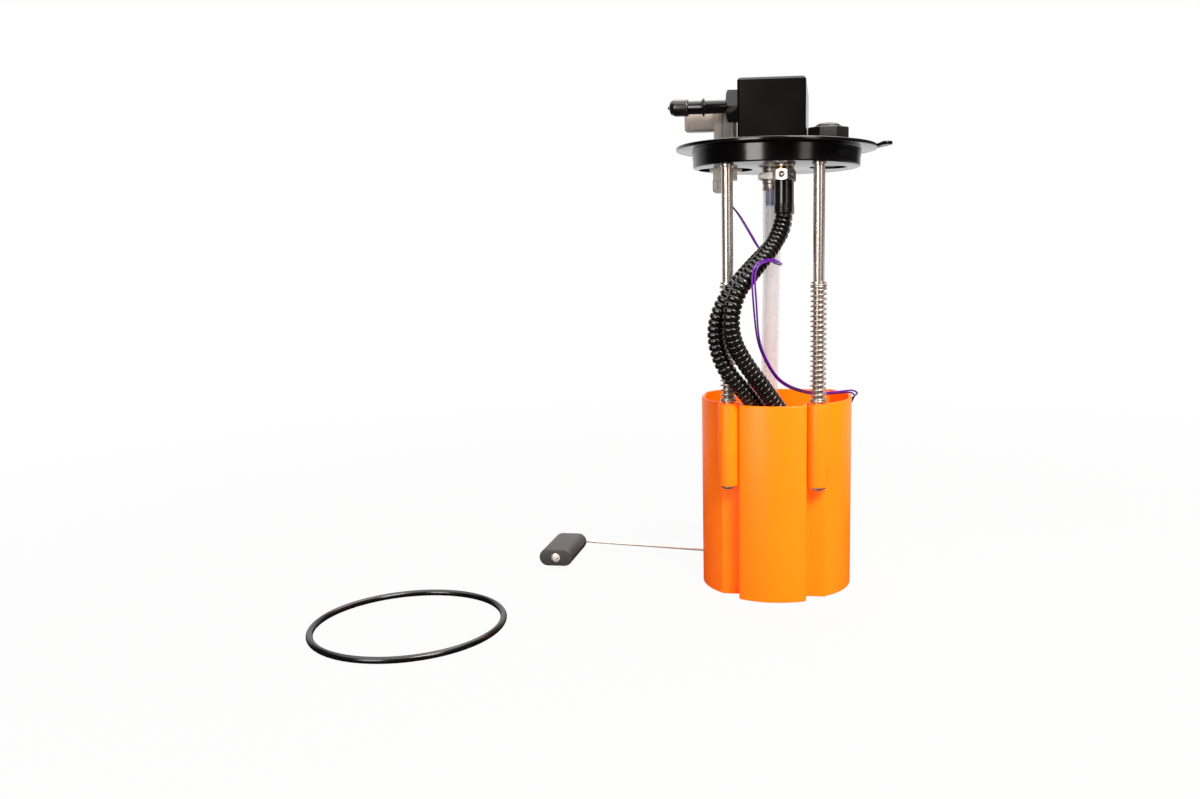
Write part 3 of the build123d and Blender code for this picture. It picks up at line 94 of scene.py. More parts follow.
class Along(Enum):
    """The direction that the height of a turned or cut piece points to."""

    UP = (0.0, 0.0, 1.0)
    LEFT = (-1.0, 0.0, 0.0)
    FRONT = (0.0, -1.0, 0.0)
    BACK = (0.0, 1.0, 0.0)


class Stiffness(Enum):
    """How stiff a cord is."""

    LIMP = "limp"
    MEDIUM = "medium"
    STIFF = "stiff"


# --- shader maths ----------------------------------------------------------------------------------


class Value:
    """A shader socket that takes part in Python arithmetic."""

    def __init__(self, nodes: "Nodes", socket: bpy.types.NodeSocket) -> None:
        """Wrap an output socket of a node tree."""
        self.nodes = nodes
        self.socket = socket

    def _math(self, operation: str, first: Number, second: Number) -> "Value":
        """Add one Math node for an operation on two numbers."""
        return self.nodes.node("ShaderNodeMath", {"operation": operation}, value=first, value_001=second)

    def __add__(self, other: Number) -> "Value":
        """Add."""
        return self._math("ADD", self, other)

    def __radd__(self, other: float) -> "Value":
        """Add, reflected."""
        return self._math("ADD", other, self)

    def __sub__(self, other: Number) -> "Value":
        """Subtract."""
        return self._math("SUBTRACT", self, other)

    def __rsub__(self, other: float) -> "Value":
        """Subtract, reflected."""
        return self._math("SUBTRACT", other, self)

    def __mul__(self, other: Number) -> "Value":
        """Multiply."""
        return self._math("MULTIPLY", self, other)

    def __rmul__(self, other: float) -> "Value":
        """Multiply, reflected."""
        return self._math("MULTIPLY", other, self)

    def maximum(self, other: Number) -> "Value":
        """Take the larger of two values."""
        return self._math("MAXIMUM", self, other)

    def minimum(self, other: Number) -> "Value":
        """Take the smaller of two values."""
        return self._math("MINIMUM", self, other)

    def clamped(self, low: float = 0.0, high: float = 1.0) -> "Value":
        """Keep the value between two limits."""
        return self.maximum(low).minimum(high)


class Nodes:
    """A node tree, with one method that adds any node to it."""

    def __init__(self, tree: bpy.types.NodeTree) -> None:
        """Take the tree."""
        self.tree = tree

    def node(self, kind: str, settings: dict | None = None, output: str | int = 0, **sockets: object) -> Value:
        """Add any node, set it up and fill its sockets.

        Args:
            kind: the node's type.
            settings: the node's own settings, set before its sockets.
            output: name or number of the output that is given back.
            **sockets: a value or a link for each socket, as in fill.

        Returns:
            The node's output.
        """
        node = self.tree.nodes.new(kind)
        for key, value in (settings or {}).items():
            setattr(node, key, value)
        self.fill(node, **sockets)
        return Value(self, node.outputs[output])

    def fill(self, node: bpy.types.Node, **sockets: object) -> None:
        """Set or link the input sockets of a node.

        Args:
            node: the node.
            **sockets: a value or a link for each socket, by its identifier in lower case and underscores.
        """
        slots = {slot.identifier.lower().replace(" ", "_"): slot for slot in node.inputs}
        for key, value in sockets.items():
            if isinstance(value, Value):
                self.tree.links.new(value.socket, slots[key])
            else:
                slots[key].default_value = value

    def rays(self) -> list[Value]:
        """Give the masks of the rays from the camera, from a mirror and through a clear wall."""
        kinds = ("Camera", "Glossy", "Transmission")
        return [self.node("ShaderNodeLightPath", output=f"Is {kind} Ray") for kind in kinds]


class Shader(Nodes):
    """One material's node tree, with its Principled shader."""

    def __init__(self, name: str) -> None:
        """Start a material with a plain Principled shader.

        Args:
            name: the material's name.
        """
        self.material = bpy.data.materials.new(name)
        self.material.use_nodes = True
        super().__init__(self.material.node_tree)
        self.surface = self.tree.nodes["Principled BSDF"]

    def feed(self, **sockets: object) -> None:
        """Set or link the Principled shader's own sockets."""
        self.fill(self.surface, **sockets)

    def place(self, stretch: Point = (1.0, 1.0, 1.0)) -> Value:
        """Give the Object coordinates, scaled along each axis."""
        coordinates = self.node("ShaderNodeTexCoord", output="Object")
        return self.node("ShaderNodeMapping", vector=coordinates, scale=stretch)

    def noise(self, scale: float, detail: float = 3.0, stretch: Point = (1.0, 1.0, 1.0)) -> Value:
        """Give a noise of so many features per metre, about 0.5 on average."""
        return self.node("ShaderNodeTexNoise", vector=self.place(stretch), scale=scale, detail=detail)

    def tint(self, factor: Value, low: Point, high: Point) -> Value:
        """Mix two colours by a factor, 0 for the low one."""
        colours = {"a_color": (*low, 1), "b_color": (*high, 1)}
        return self.node("ShaderNodeMix", {"data_type": "RGBA"}, 2, factor_float=factor, **colours)

    def bump(self, height: Value, distance: float, strength: float = 1.0) -> None:
        """Feed a height, which is distance metres at 1, to the surface's normal."""
        self.feed(normal=self.node("ShaderNodeBump", height=height, distance=distance, strength=strength))


# --- finishes --------------------------------------------------------------------------------------


@dataclass(frozen=True)
class Finish:
    """A surface: its colour, gloss and the fine texture that it has, with a painted glow where one is set."""

    name: str
    slot: str
    colour: Point
    shade: Point
    roughness: float = 0.4
    metallic: float = 0.0
    grain: float = 900.0
    grain_height: float = 0.00002
    grain_strength: float = 0.6
    mottle: float = 60.0
    mottle_contrast: float = 2.4
    gloss_change: float = 0.08
    coat: float = 0.0
    coat_roughness: float = 0.12
    specular: float = 0.5
    # Painted glow: a red emission that stands in for light shining through thin plastic, and reddens its shaded
    # sides.
    painted_glow: float = 0.0
    painted_glow_colour: Point = (1.0, 0.02, 0.0)

    def build(self) -> bpy.types.Material:
        """Make the material, with mottled colour, uneven gloss, a fine grain and, where set, a painted glow.

        Returns:
            The material.
        """
        shader = Shader(self.name)
        cloud = shader.noise(self.mottle, 2.0)
        spread = ((cloud - 0.5) * self.mottle_contrast + 0.5).clamped()
        fine = shader.noise(self.grain)
        shader.feed(
            base_color=shader.tint(spread, self.shade, self.colour),
            roughness=(cloud - 0.5) * self.gloss_change + (fine - 0.5) * self.gloss_change + self.roughness,
            metallic=self.metallic, coat_weight=self.coat, coat_roughness=self.coat_roughness,
            specular_ior_level=self.specular,
        )
        # Painted glow: the surface gives off a little red light of its own, though it is no lamp.
        if self.painted_glow:
            shader.feed(emission_color=(*self.painted_glow_colour, 1.0), emission_strength=self.painted_glow)
        shader.bump(fine, self.grain_height, self.grain_strength)
        self.detail(shader)
        return shader.material

    def detail(self, shader: Shader) -> None:
        """Add what only this kind of surface has."""


@dataclass(frozen=True)
class TurnedMetal(Finish):
    """Metal with the fine rings that a lathe or a polishing belt leaves across its length."""

    metallic: float = 1.0
    line_scale: float = 5000.0
    line_strength: float = 0.5
    line_stretch: Point = (0.02, 0.02, 1.0)

    def detail(self, shader: Shader) -> None:
        """Draw fine lines round the piece's upright axis."""
        lines = shader.noise(self.line_scale, 2.0, self.line_stretch)
        shader.bump(lines, self.grain_height, self.line_strength)


@dataclass(frozen=True)
class MouldedPlastic(Finish):
    """Injection-moulded plastic, with a fine orange-peel skin under the grain."""

    peel: float = 260.0
    peel_height: float = 0.00006
    peel_strength: float = 0.35
    grain_share: float = 0.25

    def detail(self, shader: Shader) -> None:
        """Add the orange peel."""
        skin = shader.noise(self.peel, 1.0) + shader.noise(self.grain, 2.0) * self.grain_share
        shader.bump(skin, self.peel_height, self.peel_strength)


@dataclass(frozen=True)
class Foam(Finish):
    """Closed-cell foam, with small pits all over."""

    cells: float = 1500.0
    pit_steepness: float = 1.6
    pit_depth: float = 0.00008

    def detail(self, shader: Shader) -> None:
        """Press the pits in, and darken them with painted shade."""
        pits = shader.node("ShaderNodeTexVoronoi", {"feature": "F1"}, vector=shader.place(), scale=self.cells)
        depth = (pits * self.pit_steepness).minimum(1.0)
        shader.bump(depth, self.pit_depth, 0.5)
        # Painted shade: the middle of each pit takes the darker colour, as if shade fell into it.
        shader.feed(base_color=shader.tint(depth, self.shade, self.colour))


@dataclass(frozen=True)
class WovenScreen(Finish):
    """A woven filter screen."""

    threads: float = 900.0
    thread_height: float = 0.0001

    def detail(self, shader: Shader) -> None:
        """Raise the threads of the weave."""
        warp, weft = (
            shader.node("ShaderNodeTexWave", {"bands_direction": axis}, vector=shader.place(), scale=self.threads)
            for axis in "XY"
        )
        shader.bump(warp.maximum(weft), self.thread_height, 0.6)


@dataclass(frozen=True)
class ClearPlastic(Finish):
    """Clear tubing, a little cloudy, that shows what is in it."""

    alpha: float = 0.30
    cloudiness: float = 0.12
    cloud_stretch: Point = (1.0, 1.0, 0.15)
    bending: float = 1.4

    def detail(self, shader: Shader) -> None:
        """Let the light through, less where the wall is cloudy."""
        cloud = shader.noise(self.mottle, 2.0, self.cloud_stretch)
        shader.feed(alpha=(cloud - 0.5) * self.cloudiness + self.alpha, ior=self.bending)


class Finishes:
    """Every finish of the module, each built once."""

    anodised = Finish(
        "anodised_black", "black_anodised", (0.0050, 0.0043, 0.0048), (0.0032, 0.0028, 0.0031),
        roughness=0.19, grain=2600.0, grain_height=0.000002, mottle=38.0, gloss_change=0.05, specular=0.34,
    )
    turned_black = TurnedMetal(
        "turned_black", "black_anodised", (0.0042, 0.0036, 0.0040), (0.0028, 0.0024, 0.0026),
        roughness=0.16, metallic=0.0, grain=2600.0, grain_height=0.000003, line_scale=2500.0, specular=0.45,
    )
    steel = TurnedMetal(
        "polished_steel", "polished_steel", (0.70, 0.63, 0.58), (0.62, 0.55, 0.51),
        roughness=0.25, grain=1200.0, grain_height=0.0000001, mottle=60.0, gloss_change=0.04, metallic=0.84,
    )
    spring_steel = TurnedMetal(
        "spring_steel", "polished_steel", (0.60, 0.52, 0.46), (0.48, 0.42, 0.37),
        roughness=0.30, grain=1500.0, grain_height=0.000001, mottle=160.0, metallic=0.85,
    )
    arm_wire = TurnedMetal(
        "arm_wire", "polished_steel", (0.80, 0.71, 0.65), (0.70, 0.62, 0.57),
        roughness=0.30, grain=1500.0, grain_height=0.000001, mottle=160.0, metallic=0.35,
    )
    bright_fitting = TurnedMetal(
        "bright_fitting", "bright_fitting", (0.64, 0.59, 0.55), (0.54, 0.50, 0.46),
        roughness=0.42, grain=1200.0, grain_height=0.0000012, mottle=120.0,
    )
    # The orange plastic has a painted red glow, standing in for light shining through its thin walls; it reddens the
    # shaded sides and the inside.
    orange = MouldedPlastic(
        "orange_plastic", "orange_plastic", (1.0, 0.272, 0.002), (1.0, 0.248, 0.002),
        roughness=0.36, mottle=16.0, gloss_change=0.05, peel_height=0.00002, specular=0.20, painted_glow=0.34,
    )
    connector_grey = MouldedPlastic(
        "connector_grey", "grey_plastic", (0.66, 0.58, 0.51), (0.57, 0.50, 0.44),
        roughness=0.42, mottle=70.0,
    )
    plug_white = MouldedPlastic(
        "plug_white", "white_plastic", (0.60, 0.58, 0.52), (0.52, 0.50, 0.45),
        roughness=0.42, mottle=70.0,
    )
    black_plastic = MouldedPlastic(
        "black_plastic", "black_plastic", (0.010, 0.0095, 0.0095), (0.006, 0.006, 0.006),
        roughness=0.38, mottle=60.0,
    )
    vinyl = MouldedPlastic(
        "cap_vinyl", "cap_vinyl", (0.010, 0.009, 0.0085), (0.006, 0.0055, 0.0055),
        roughness=0.30, mottle=120.0, coat=0.3,
    )
    hose = MouldedPlastic(
        "ribbed_hose", "hose_black", (0.0075, 0.0068, 0.0062), (0.004, 0.0035, 0.0033),
        roughness=0.18, mottle=90.0, peel=700.0, peel_height=0.00001,
    )
    cuff = MouldedPlastic(
        "hose_cuff", "hose_black", (0.0075, 0.0068, 0.0062), (0.004, 0.0035, 0.0033),
        roughness=0.16, mottle=90.0, peel_height=0.00001,
    )
    seal = MouldedPlastic(
        "seal_rubber", "seal_rubber", (0.0055, 0.0052, 0.0055), (0.0035, 0.0033, 0.0035),
        roughness=0.20, mottle=110.0, peel=900.0, peel_height=0.00001,
    )
    # The float's darker colour is the painted shade in the middle of its pits.
    foam = Foam(
        "float_foam", "float_foam", (0.040, 0.035, 0.036), (0.028, 0.024, 0.025),
        roughness=0.50, grain=2500.0, gloss_change=0.05,
    )
    clear = ClearPlastic(
        "clear_tube", "clear_tube", (0.90, 0.85, 0.87), (0.85, 0.80, 0.82),
        roughness=0.14, grain=600.0, grain_height=0.000001, mottle=90.0,
    )
    blue = MouldedPlastic(
        "blue_sleeve", "blue_plastic", (0.26, 0.47, 0.90), (0.22, 0.42, 0.84), roughness=0.25,
    )
    purple = MouldedPlastic(
        "purple_insulation", "purple_wire", (0.17, 0.006, 0.42), (0.12, 0.003, 0.31),
        roughness=0.34, mottle=200.0,
    )
    red = MouldedPlastic(
        "red_insulation", "red_wire", (0.88, 0.085, 0.09), (0.76, 0.06, 0.06), roughness=0.36, mottle=200.0,
    )
    black_wire = MouldedPlastic(
        "black_insulation", "black_wire", (0.016, 0.015, 0.015), (0.010, 0.010, 0.010), roughness=0.36,
    )
    pump_can = TurnedMetal(
        "pump_can", "pump_metal", (0.62, 0.62, 0.62), (0.50, 0.50, 0.51), roughness=0.28, mottle=50.0,
    )
    screen = WovenScreen(
        "strainer_screen", "screen", (0.72, 0.70, 0.64), (0.60, 0.58, 0.53), roughness=0.7,
    )
    push_nut = TurnedMetal(
        "push_nut", "bright_fitting", (0.90, 0.88, 0.86), (0.80, 0.78, 0.76),
        roughness=0.28, grain=1200.0, grain_height=0.000001, mottle=200.0, metallic=0.45,
    )
    brass = TurnedMetal(
        "brass_washer", "bright_fitting", (0.62, 0.36, 0.16), (0.48, 0.26, 0.10),
        roughness=0.25, grain_height=0.000001,
    )
    tinned = TurnedMetal(
        "tinned_brass", "terminal_metal", (0.72, 0.69, 0.62), (0.58, 0.55, 0.48), roughness=0.25,
    )

    _built: dict[str, bpy.types.Material] = {}

    @classmethod
    def material(cls, finish: Finish) -> bpy.types.Material:
        """Give a finish's material, built on first use.

        Args:
            finish: the finish.

        Returns:
            The material.
        """
        if finish.name not in cls._built:
            cls._built[finish.name] = finish.build()
        return cls._built[finish.name]


# --- modelling -------------------------------------------------------------------------------------


SELECT_ALL = partial(bpy.ops.mesh.select_all, action="SELECT")
FILL_ENDS = partial(bpy.ops.mesh.fill_holes, sides=0)
FACE_OUT = partial(bpy.ops.mesh.normals_make_consistent, inside=False)


def arc(start: Flat, through: Flat, end: Flat, steps: int) -> list[Flat]:
    """Give points along the circle through three points, from start to end, without the end.

    Args:
        start: first point.
        through: a point on the arc.
        end: last point.
        steps: number of chords.

    Returns:
        The points.
    """
    a, b, c = (np.array(point, float) for point in (start, through, end))
    centre = np.linalg.solve(np.array([b - a, c - a]), np.array([(b @ b - a @ a) / 2, (c @ c - a @ a) / 2]))
    radius = float(np.linalg.norm(a - centre))
    angles = [math.atan2(*(point - centre)[::-1]) for point in (a, b, c)]
    turn = (angles[2] - angles[0]) % math.tau
    if (angles[1] - angles[0]) % math.tau > turn:
        turn -= math.tau
    return [
        (centre[0] + radius * math.cos(angles[0] + turn * i / steps),
         centre[1] + radius * math.sin(angles[0] + turn * i / steps))
        for i in range(steps)
    ]


def rounded(corners: Sequence[Point], steps: int = 4) -> list[Flat]:
    """Round the corners of a closed outline or profile.

    Args:
        corners: x, y and the radius of each corner, 0 for a sharp one.
        steps: chords in each rounding.

    Returns:
        The outline's points.
    """
    points: list[Flat] = []
    for (bx, by, _), (x, y, radius), (ax, ay, _) in zip(
        [corners[-1], *corners[:-1]], corners, [*corners[1:], corners[0]]
    ):
        before, after = Vector((bx - x, by - y)), Vector((ax - x, ay - y))
        angle = before.angle(after, 0.0)
        if radius <= 0 or angle < 0.05 or angle > math.pi - 0.02:
            points.append((x, y))
            continue
        cut = min(radius / math.tan(angle / 2), before.length * 0.49, after.length * 0.49)
        radius = cut * math.tan(angle / 2)
        middle = (before.normalized() + after.normalized()).normalized() * (radius / math.sin(angle / 2))
        first = Vector((x, y)) + before.normalized() * cut
        last = Vector((x, y)) + after.normalized() * cut
        inner = Vector((x, y)) + middle - middle.normalized() * radius
        points += [*arc(tuple(first), tuple(inner), tuple(last), steps), tuple(last)]
    return points


def round_levels(low: float, high: float, low_round: float, high_round: float, steps: int = 4) -> list[Flat]:
    """Give inset and height of the levels of a block with rounded lower and upper edges.

    Args:
        low: height of the bottom.
        high: height of the top.
        low_round: radius at the bottom, 0 for a sharp edge.
        high_round: radius at the top, 0 for a sharp edge.
        steps: chords in each rounding.

    Returns:
        The levels from the bottom to the top.
    """
    leans = [math.pi / 2 * part / steps for part in range(steps + 1)]
    turns = [(1 - math.sin(lean), 1 - math.cos(lean)) for lean in leans]
    lower = [(low_round * inset, low + low_round * rise) for inset, rise in turns]
    upper = [(high_round * inset, high - high_round * drop) for drop, inset in turns]
    return [*(lower if low_round else lower[:1]), *(upper if high_round else upper[:1])]


def polygon(across: float, turn: float = 0.0, sides: int = 6) -> list[Flat]:
    """Give a regular outline by its width across flats.

    Args:
        across: distance between opposite flats.
        turn: degrees that it is turned.
        sides: number of sides.

    Returns:
        The outline.
    """
    radius = across / 2 / math.cos(math.pi / sides)
    angles = [math.radians(turn) + math.tau * i / sides for i in range(sides)]
    return [(radius * math.cos(angle), radius * math.sin(angle)) for angle in angles]


class Bench:
    """The operators that shape every new piece, in the way that it is done by hand."""

    @staticmethod
    def pick(*pieces: Piece) -> None:
        """Select these pieces alone, and make the first one active."""
        bpy.ops.object.select_all(action="DESELECT")
        for piece in pieces:
            piece.select_set(True)
        if pieces:
            bpy.context.view_layer.objects.active = pieces[0]

    @staticmethod
    def lay(vertices: Sequence[bpy.types.MeshVertex], corners: Sequence[Point]) -> None:
        """Lay vertices along an outline that is given in millimetres."""
        for vertex, corner in zip(vertices, corners):
            vertex.co = Vector(corner) * MM

    @classmethod
    def start(cls, name: str, corners: Sequence[Point]) -> Piece:
        """Add a ring of vertices and lay it along an outline.

        Args:
            name: the piece's name.
            corners: the outline's points, in millimetres.

        Returns:
            The new object, whose mesh is the closed outline.
        """
        cls.pick()
        bpy.ops.mesh.primitive_circle_add(vertices=len(corners), radius=MM, fill_type="NOTHING")
        piece = bpy.context.object
        piece.name = piece.data.name = name
        cls.lay(piece.data.vertices, corners)
        return piece

    @classmethod
    def edit(cls, piece: Piece, *steps: Callable[[], object]) -> Piece:
        """Run operators in edit mode on the whole mesh.

        Args:
            piece: the piece to edit.
            *steps: the operators, each ready to call.

        Returns:
            The piece.
        """
        cls.pick(piece)
        bpy.ops.object.mode_set(mode="EDIT")
        bpy.ops.mesh.select_mode(type="VERT")
        SELECT_ALL()
        for step in steps:
            step()
        bpy.ops.object.mode_set(mode="OBJECT")
        return piece

    @staticmethod
    def aim(piece: Piece, origin: Point | Flat = (0.0, 0.0), along: Along = Along.UP) -> Piece:
        """Turn a piece made round the upright axis and carry it to its place.

        Args:
            piece: the piece, made at the origin.
            origin: where its own origin goes, in millimetres, at height 0 where none is given.
            along: where its height points.

        Returns:
            The piece, with its place in its mesh.
        """
        turn = Vector((0, 0, 1)).rotation_difference(Vector(along.value)).to_matrix().to_4x4()
        piece.data.transform(Matrix.Translation(Vector((*origin, 0.0)[:3]) * MM) @ turn)
        return piece

    @classmethod
    def turned(
        cls, name: str, profile: Sequence[Flat], origin: Point | Flat = (0.0, 0.0),
        along: Along = Along.UP, steps: int = 64,
    ) -> Piece:
        """Spin a closed profile round an axis.

        Args:
            name: the piece's name.
            profile: radius and height of each point, in millimetres.
            origin: the axis's origin, in millimetres.
            along: the axis's direction.
            steps: sides of the finished piece.

        Returns:
            The piece.
        """
        piece = cls.start(name, [(radius, 0.0, height) for radius, height in profile])
        cls.edit(
            piece,
            partial(bpy.ops.mesh.spin, steps=steps, angle=math.tau, center=(0, 0, 0), axis=(0, 0, 1)),
            SELECT_ALL,
            partial(bpy.ops.mesh.remove_doubles, threshold=0.000002),
            partial(bpy.ops.mesh.dissolve_degenerate, threshold=0.000001),
            SELECT_ALL, bpy.ops.mesh.delete_loose,
            SELECT_ALL, FACE_OUT,
        )
        return cls.aim(piece, origin, along)

    @classmethod
    def raised(
        cls, name: str, plan: Callable[[float], Sequence[Flat]], levels: Sequence[Flat],
        origin: Point | Flat = (0.0, 0.0), along: Along = Along.UP,
    ) -> Piece:
        """Extrude an outline again and again through several levels, moved in by its own amount at each.

        Args:
            name: the piece's name.
            plan: gives the outline for an inset, always with the same number of points.
            levels: inset and height of each level.
            origin: where the outline's own origin goes.
            along: where the height points.

        Returns:
            The piece.
        """
        loops = [[(x, y, height) for x, y in plan(inset)] for inset, height in levels]
        piece = cls.edit(cls.start(name, loops[0]))
        for loop in loops[1:]:
            bpy.ops.object.mode_set(mode="EDIT")
            bpy.ops.mesh.extrude_region_move()
            bpy.ops.object.mode_set(mode="OBJECT")
            cls.lay(piece.data.vertices[-len(loop):], loop)
        return cls.aim(cls.edit(piece, FILL_ENDS, SELECT_ALL, FACE_OUT), origin, along)

    @classmethod
    def cut_out(
        cls, name: str, outline: Sequence[Flat], low: float, high: float, origin: Point | Flat = (0.0, 0.0),
    ) -> Piece:
        """Extrude a flat outline upwards.

        Args:
            name: the piece's name.
            outline: its points, in millimetres.
            low: height of the lower face.
            high: height of the upper face.
            origin: where the outline's own origin goes.

        Returns:
            The piece.
        """
        rise = partial(
            bpy.ops.mesh.extrude_region_move, TRANSFORM_OT_translate={"value": (0, 0, (high - low) * MM)}
        )
        piece = cls.start(name, [(x, y, low) for x, y in outline])
        return cls.aim(cls.edit(piece, rise, SELECT_ALL, FILL_ENDS, SELECT_ALL, FACE_OUT), origin)

    @classmethod
    def modify(cls, piece: Piece, kind: str, **settings: object) -> None:
        """Add a modifier, set it and apply it.

        Args:
            piece: the piece.
            kind: the modifier's type.
            **settings: its settings.
        """
        cls.pick(piece)
        modifier = piece.modifiers.new(kind.lower(), kind)
        for key, value in settings.items():
            setattr(modifier, key, value)
        bpy.ops.object.modifier_apply(modifier=modifier.name)

    @classmethod
    def combine(cls, piece: Piece, tools: Iterable[Piece], operation: str) -> None:
        """Cut or join other shapes with a piece, and throw those shapes away.

        Args:
            piece: the piece to change.
            tools: the shapes.
            operation: DIFFERENCE, UNION or INTERSECT.
        """
        for tool in tools:
            cls.modify(piece, "BOOLEAN", operation=operation, object=tool, solver="EXACT")
            bpy.data.objects.remove(tool, do_unlink=True)

    @classmethod
    def nut(cls, across: float, low: float, high: float, turn: float, bore: float) -> Piece:
        """Make a hexagon with chamfered corners and a bore, on the upright axis.

        Args:
            across: width across flats.
            low: height of its lower face.
            high: height of its upper face.
            turn: degrees that it is turned.
            bore: diameter of its bore.

        Returns:
            The hexagon.
        """
        flat = across / 2 * 0.985
        corner = across / 2 / math.cos(math.pi / 6)
        fall = (corner - flat) * 0.75
        nut = cls.cut_out("nut", polygon(across, turn), low, high)
        lens = cls.turned("lens", [
            (0.0, low - 0.01), (flat, low - 0.01), (corner + 0.1, low + fall),
            (corner + 0.1, high - fall), (flat, high + 0.01), (0.0, high + 0.01),
        ], steps=48)
        cls.combine(nut, [lens], "INTERSECT")
        cls.combine(nut, [cls.cut_out("hole", polygon(bore, 0.0, 48), low - 1.0, high + 1.0)], "DIFFERENCE")
        return nut

    @classmethod
    def gather(
        cls, name: str, pieces: Sequence[Piece], origin: Point | Flat = (0.0, 0.0), along: Along = Along.UP,
    ) -> Piece:
        """Join several closed shapes into one piece and carry it to its place.

        Args:
            name: the joined piece's name.
            pieces: the shapes.
            origin: where their origin goes.
            along: where their height points.

        Returns:
            The piece.
        """
        cls.pick(*pieces)
        bpy.ops.object.join()
        joined = bpy.context.object
        joined.name = joined.data.name = name
        return cls.aim(joined, origin, along)

    @classmethod
    def smooth(cls, piece: Piece, angle: float) -> None:
        """Shade a piece smooth, apart from its sharp edges."""
        cls.pick(piece)
        bpy.ops.object.shade_smooth_by_angle(angle=math.radians(angle))


def finish_piece(piece: Piece, body: Body, finish: Finish, *replaces: str, smooth: float = 32.0) -> None:
    """Dress a piece, seat it on its body and report it.

    Args:
        piece: the finished shape.
        body: the body that it rides on.
        finish: its surface.
        *replaces: the CAD nodes that it stands for.
        smooth: the angle under which edges are shaded smooth, in degrees.
    """
    Bench.smooth(piece, smooth)
    piece.data.materials.clear()
    piece.data.materials.append(Finishes.material(finish))
    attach(piece, body.value)
    if replaces:
        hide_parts(*replaces)
    log.info("%s rides on %s", piece.name, body.value)


def dress_nodes(finishes: dict[str, Finish]) -> None:
    """Give CAD nodes that stay their finishes, and report them.

    Args:
        finishes: the finish of each node, by the node's name.
    """
    for node, finish in finishes.items():
        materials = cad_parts[node].data.materials
        materials.clear()
        materials.append(Finishes.material(finish))
        log.info("%s keeps its CAD shape", node)


# --- studio ----------------------------------------------------------------------------------------


@dataclass(frozen=True)
class SoftBox:
    """A lamp with a rectangular face, aimed at the middle of the module."""

    name: str
    place: Point
    width: float
    height: float
    power: float
    lights: bool = True
    mirrors: bool = True
    aim: Point = (0.0, 0.0, 0.17)
    tint: Point = (1.0, 0.94, 0.88)

    def hang(self) -> None:
        """Hang the lamp."""
        lamp = bpy.data.lights.new(self.name, "AREA")
        lamp.shape = "RECTANGLE"
        lamp.size = self.width
        lamp.size_y = self.height
        lamp.energy = self.power
        lamp.color = self.tint
        holder = bpy.data.objects.new(self.name, lamp)
        bpy.context.scene.collection.objects.link(holder)
        facing = (Vector(self.aim) - Vector(self.place)).to_track_quat("-Z", "Y")
        holder.matrix_world = Matrix.Translation(self.place) @ facing.to_matrix().to_4x4()
        holder.visible_diffuse = self.lights
        holder.visible_glossy = self.mirrors


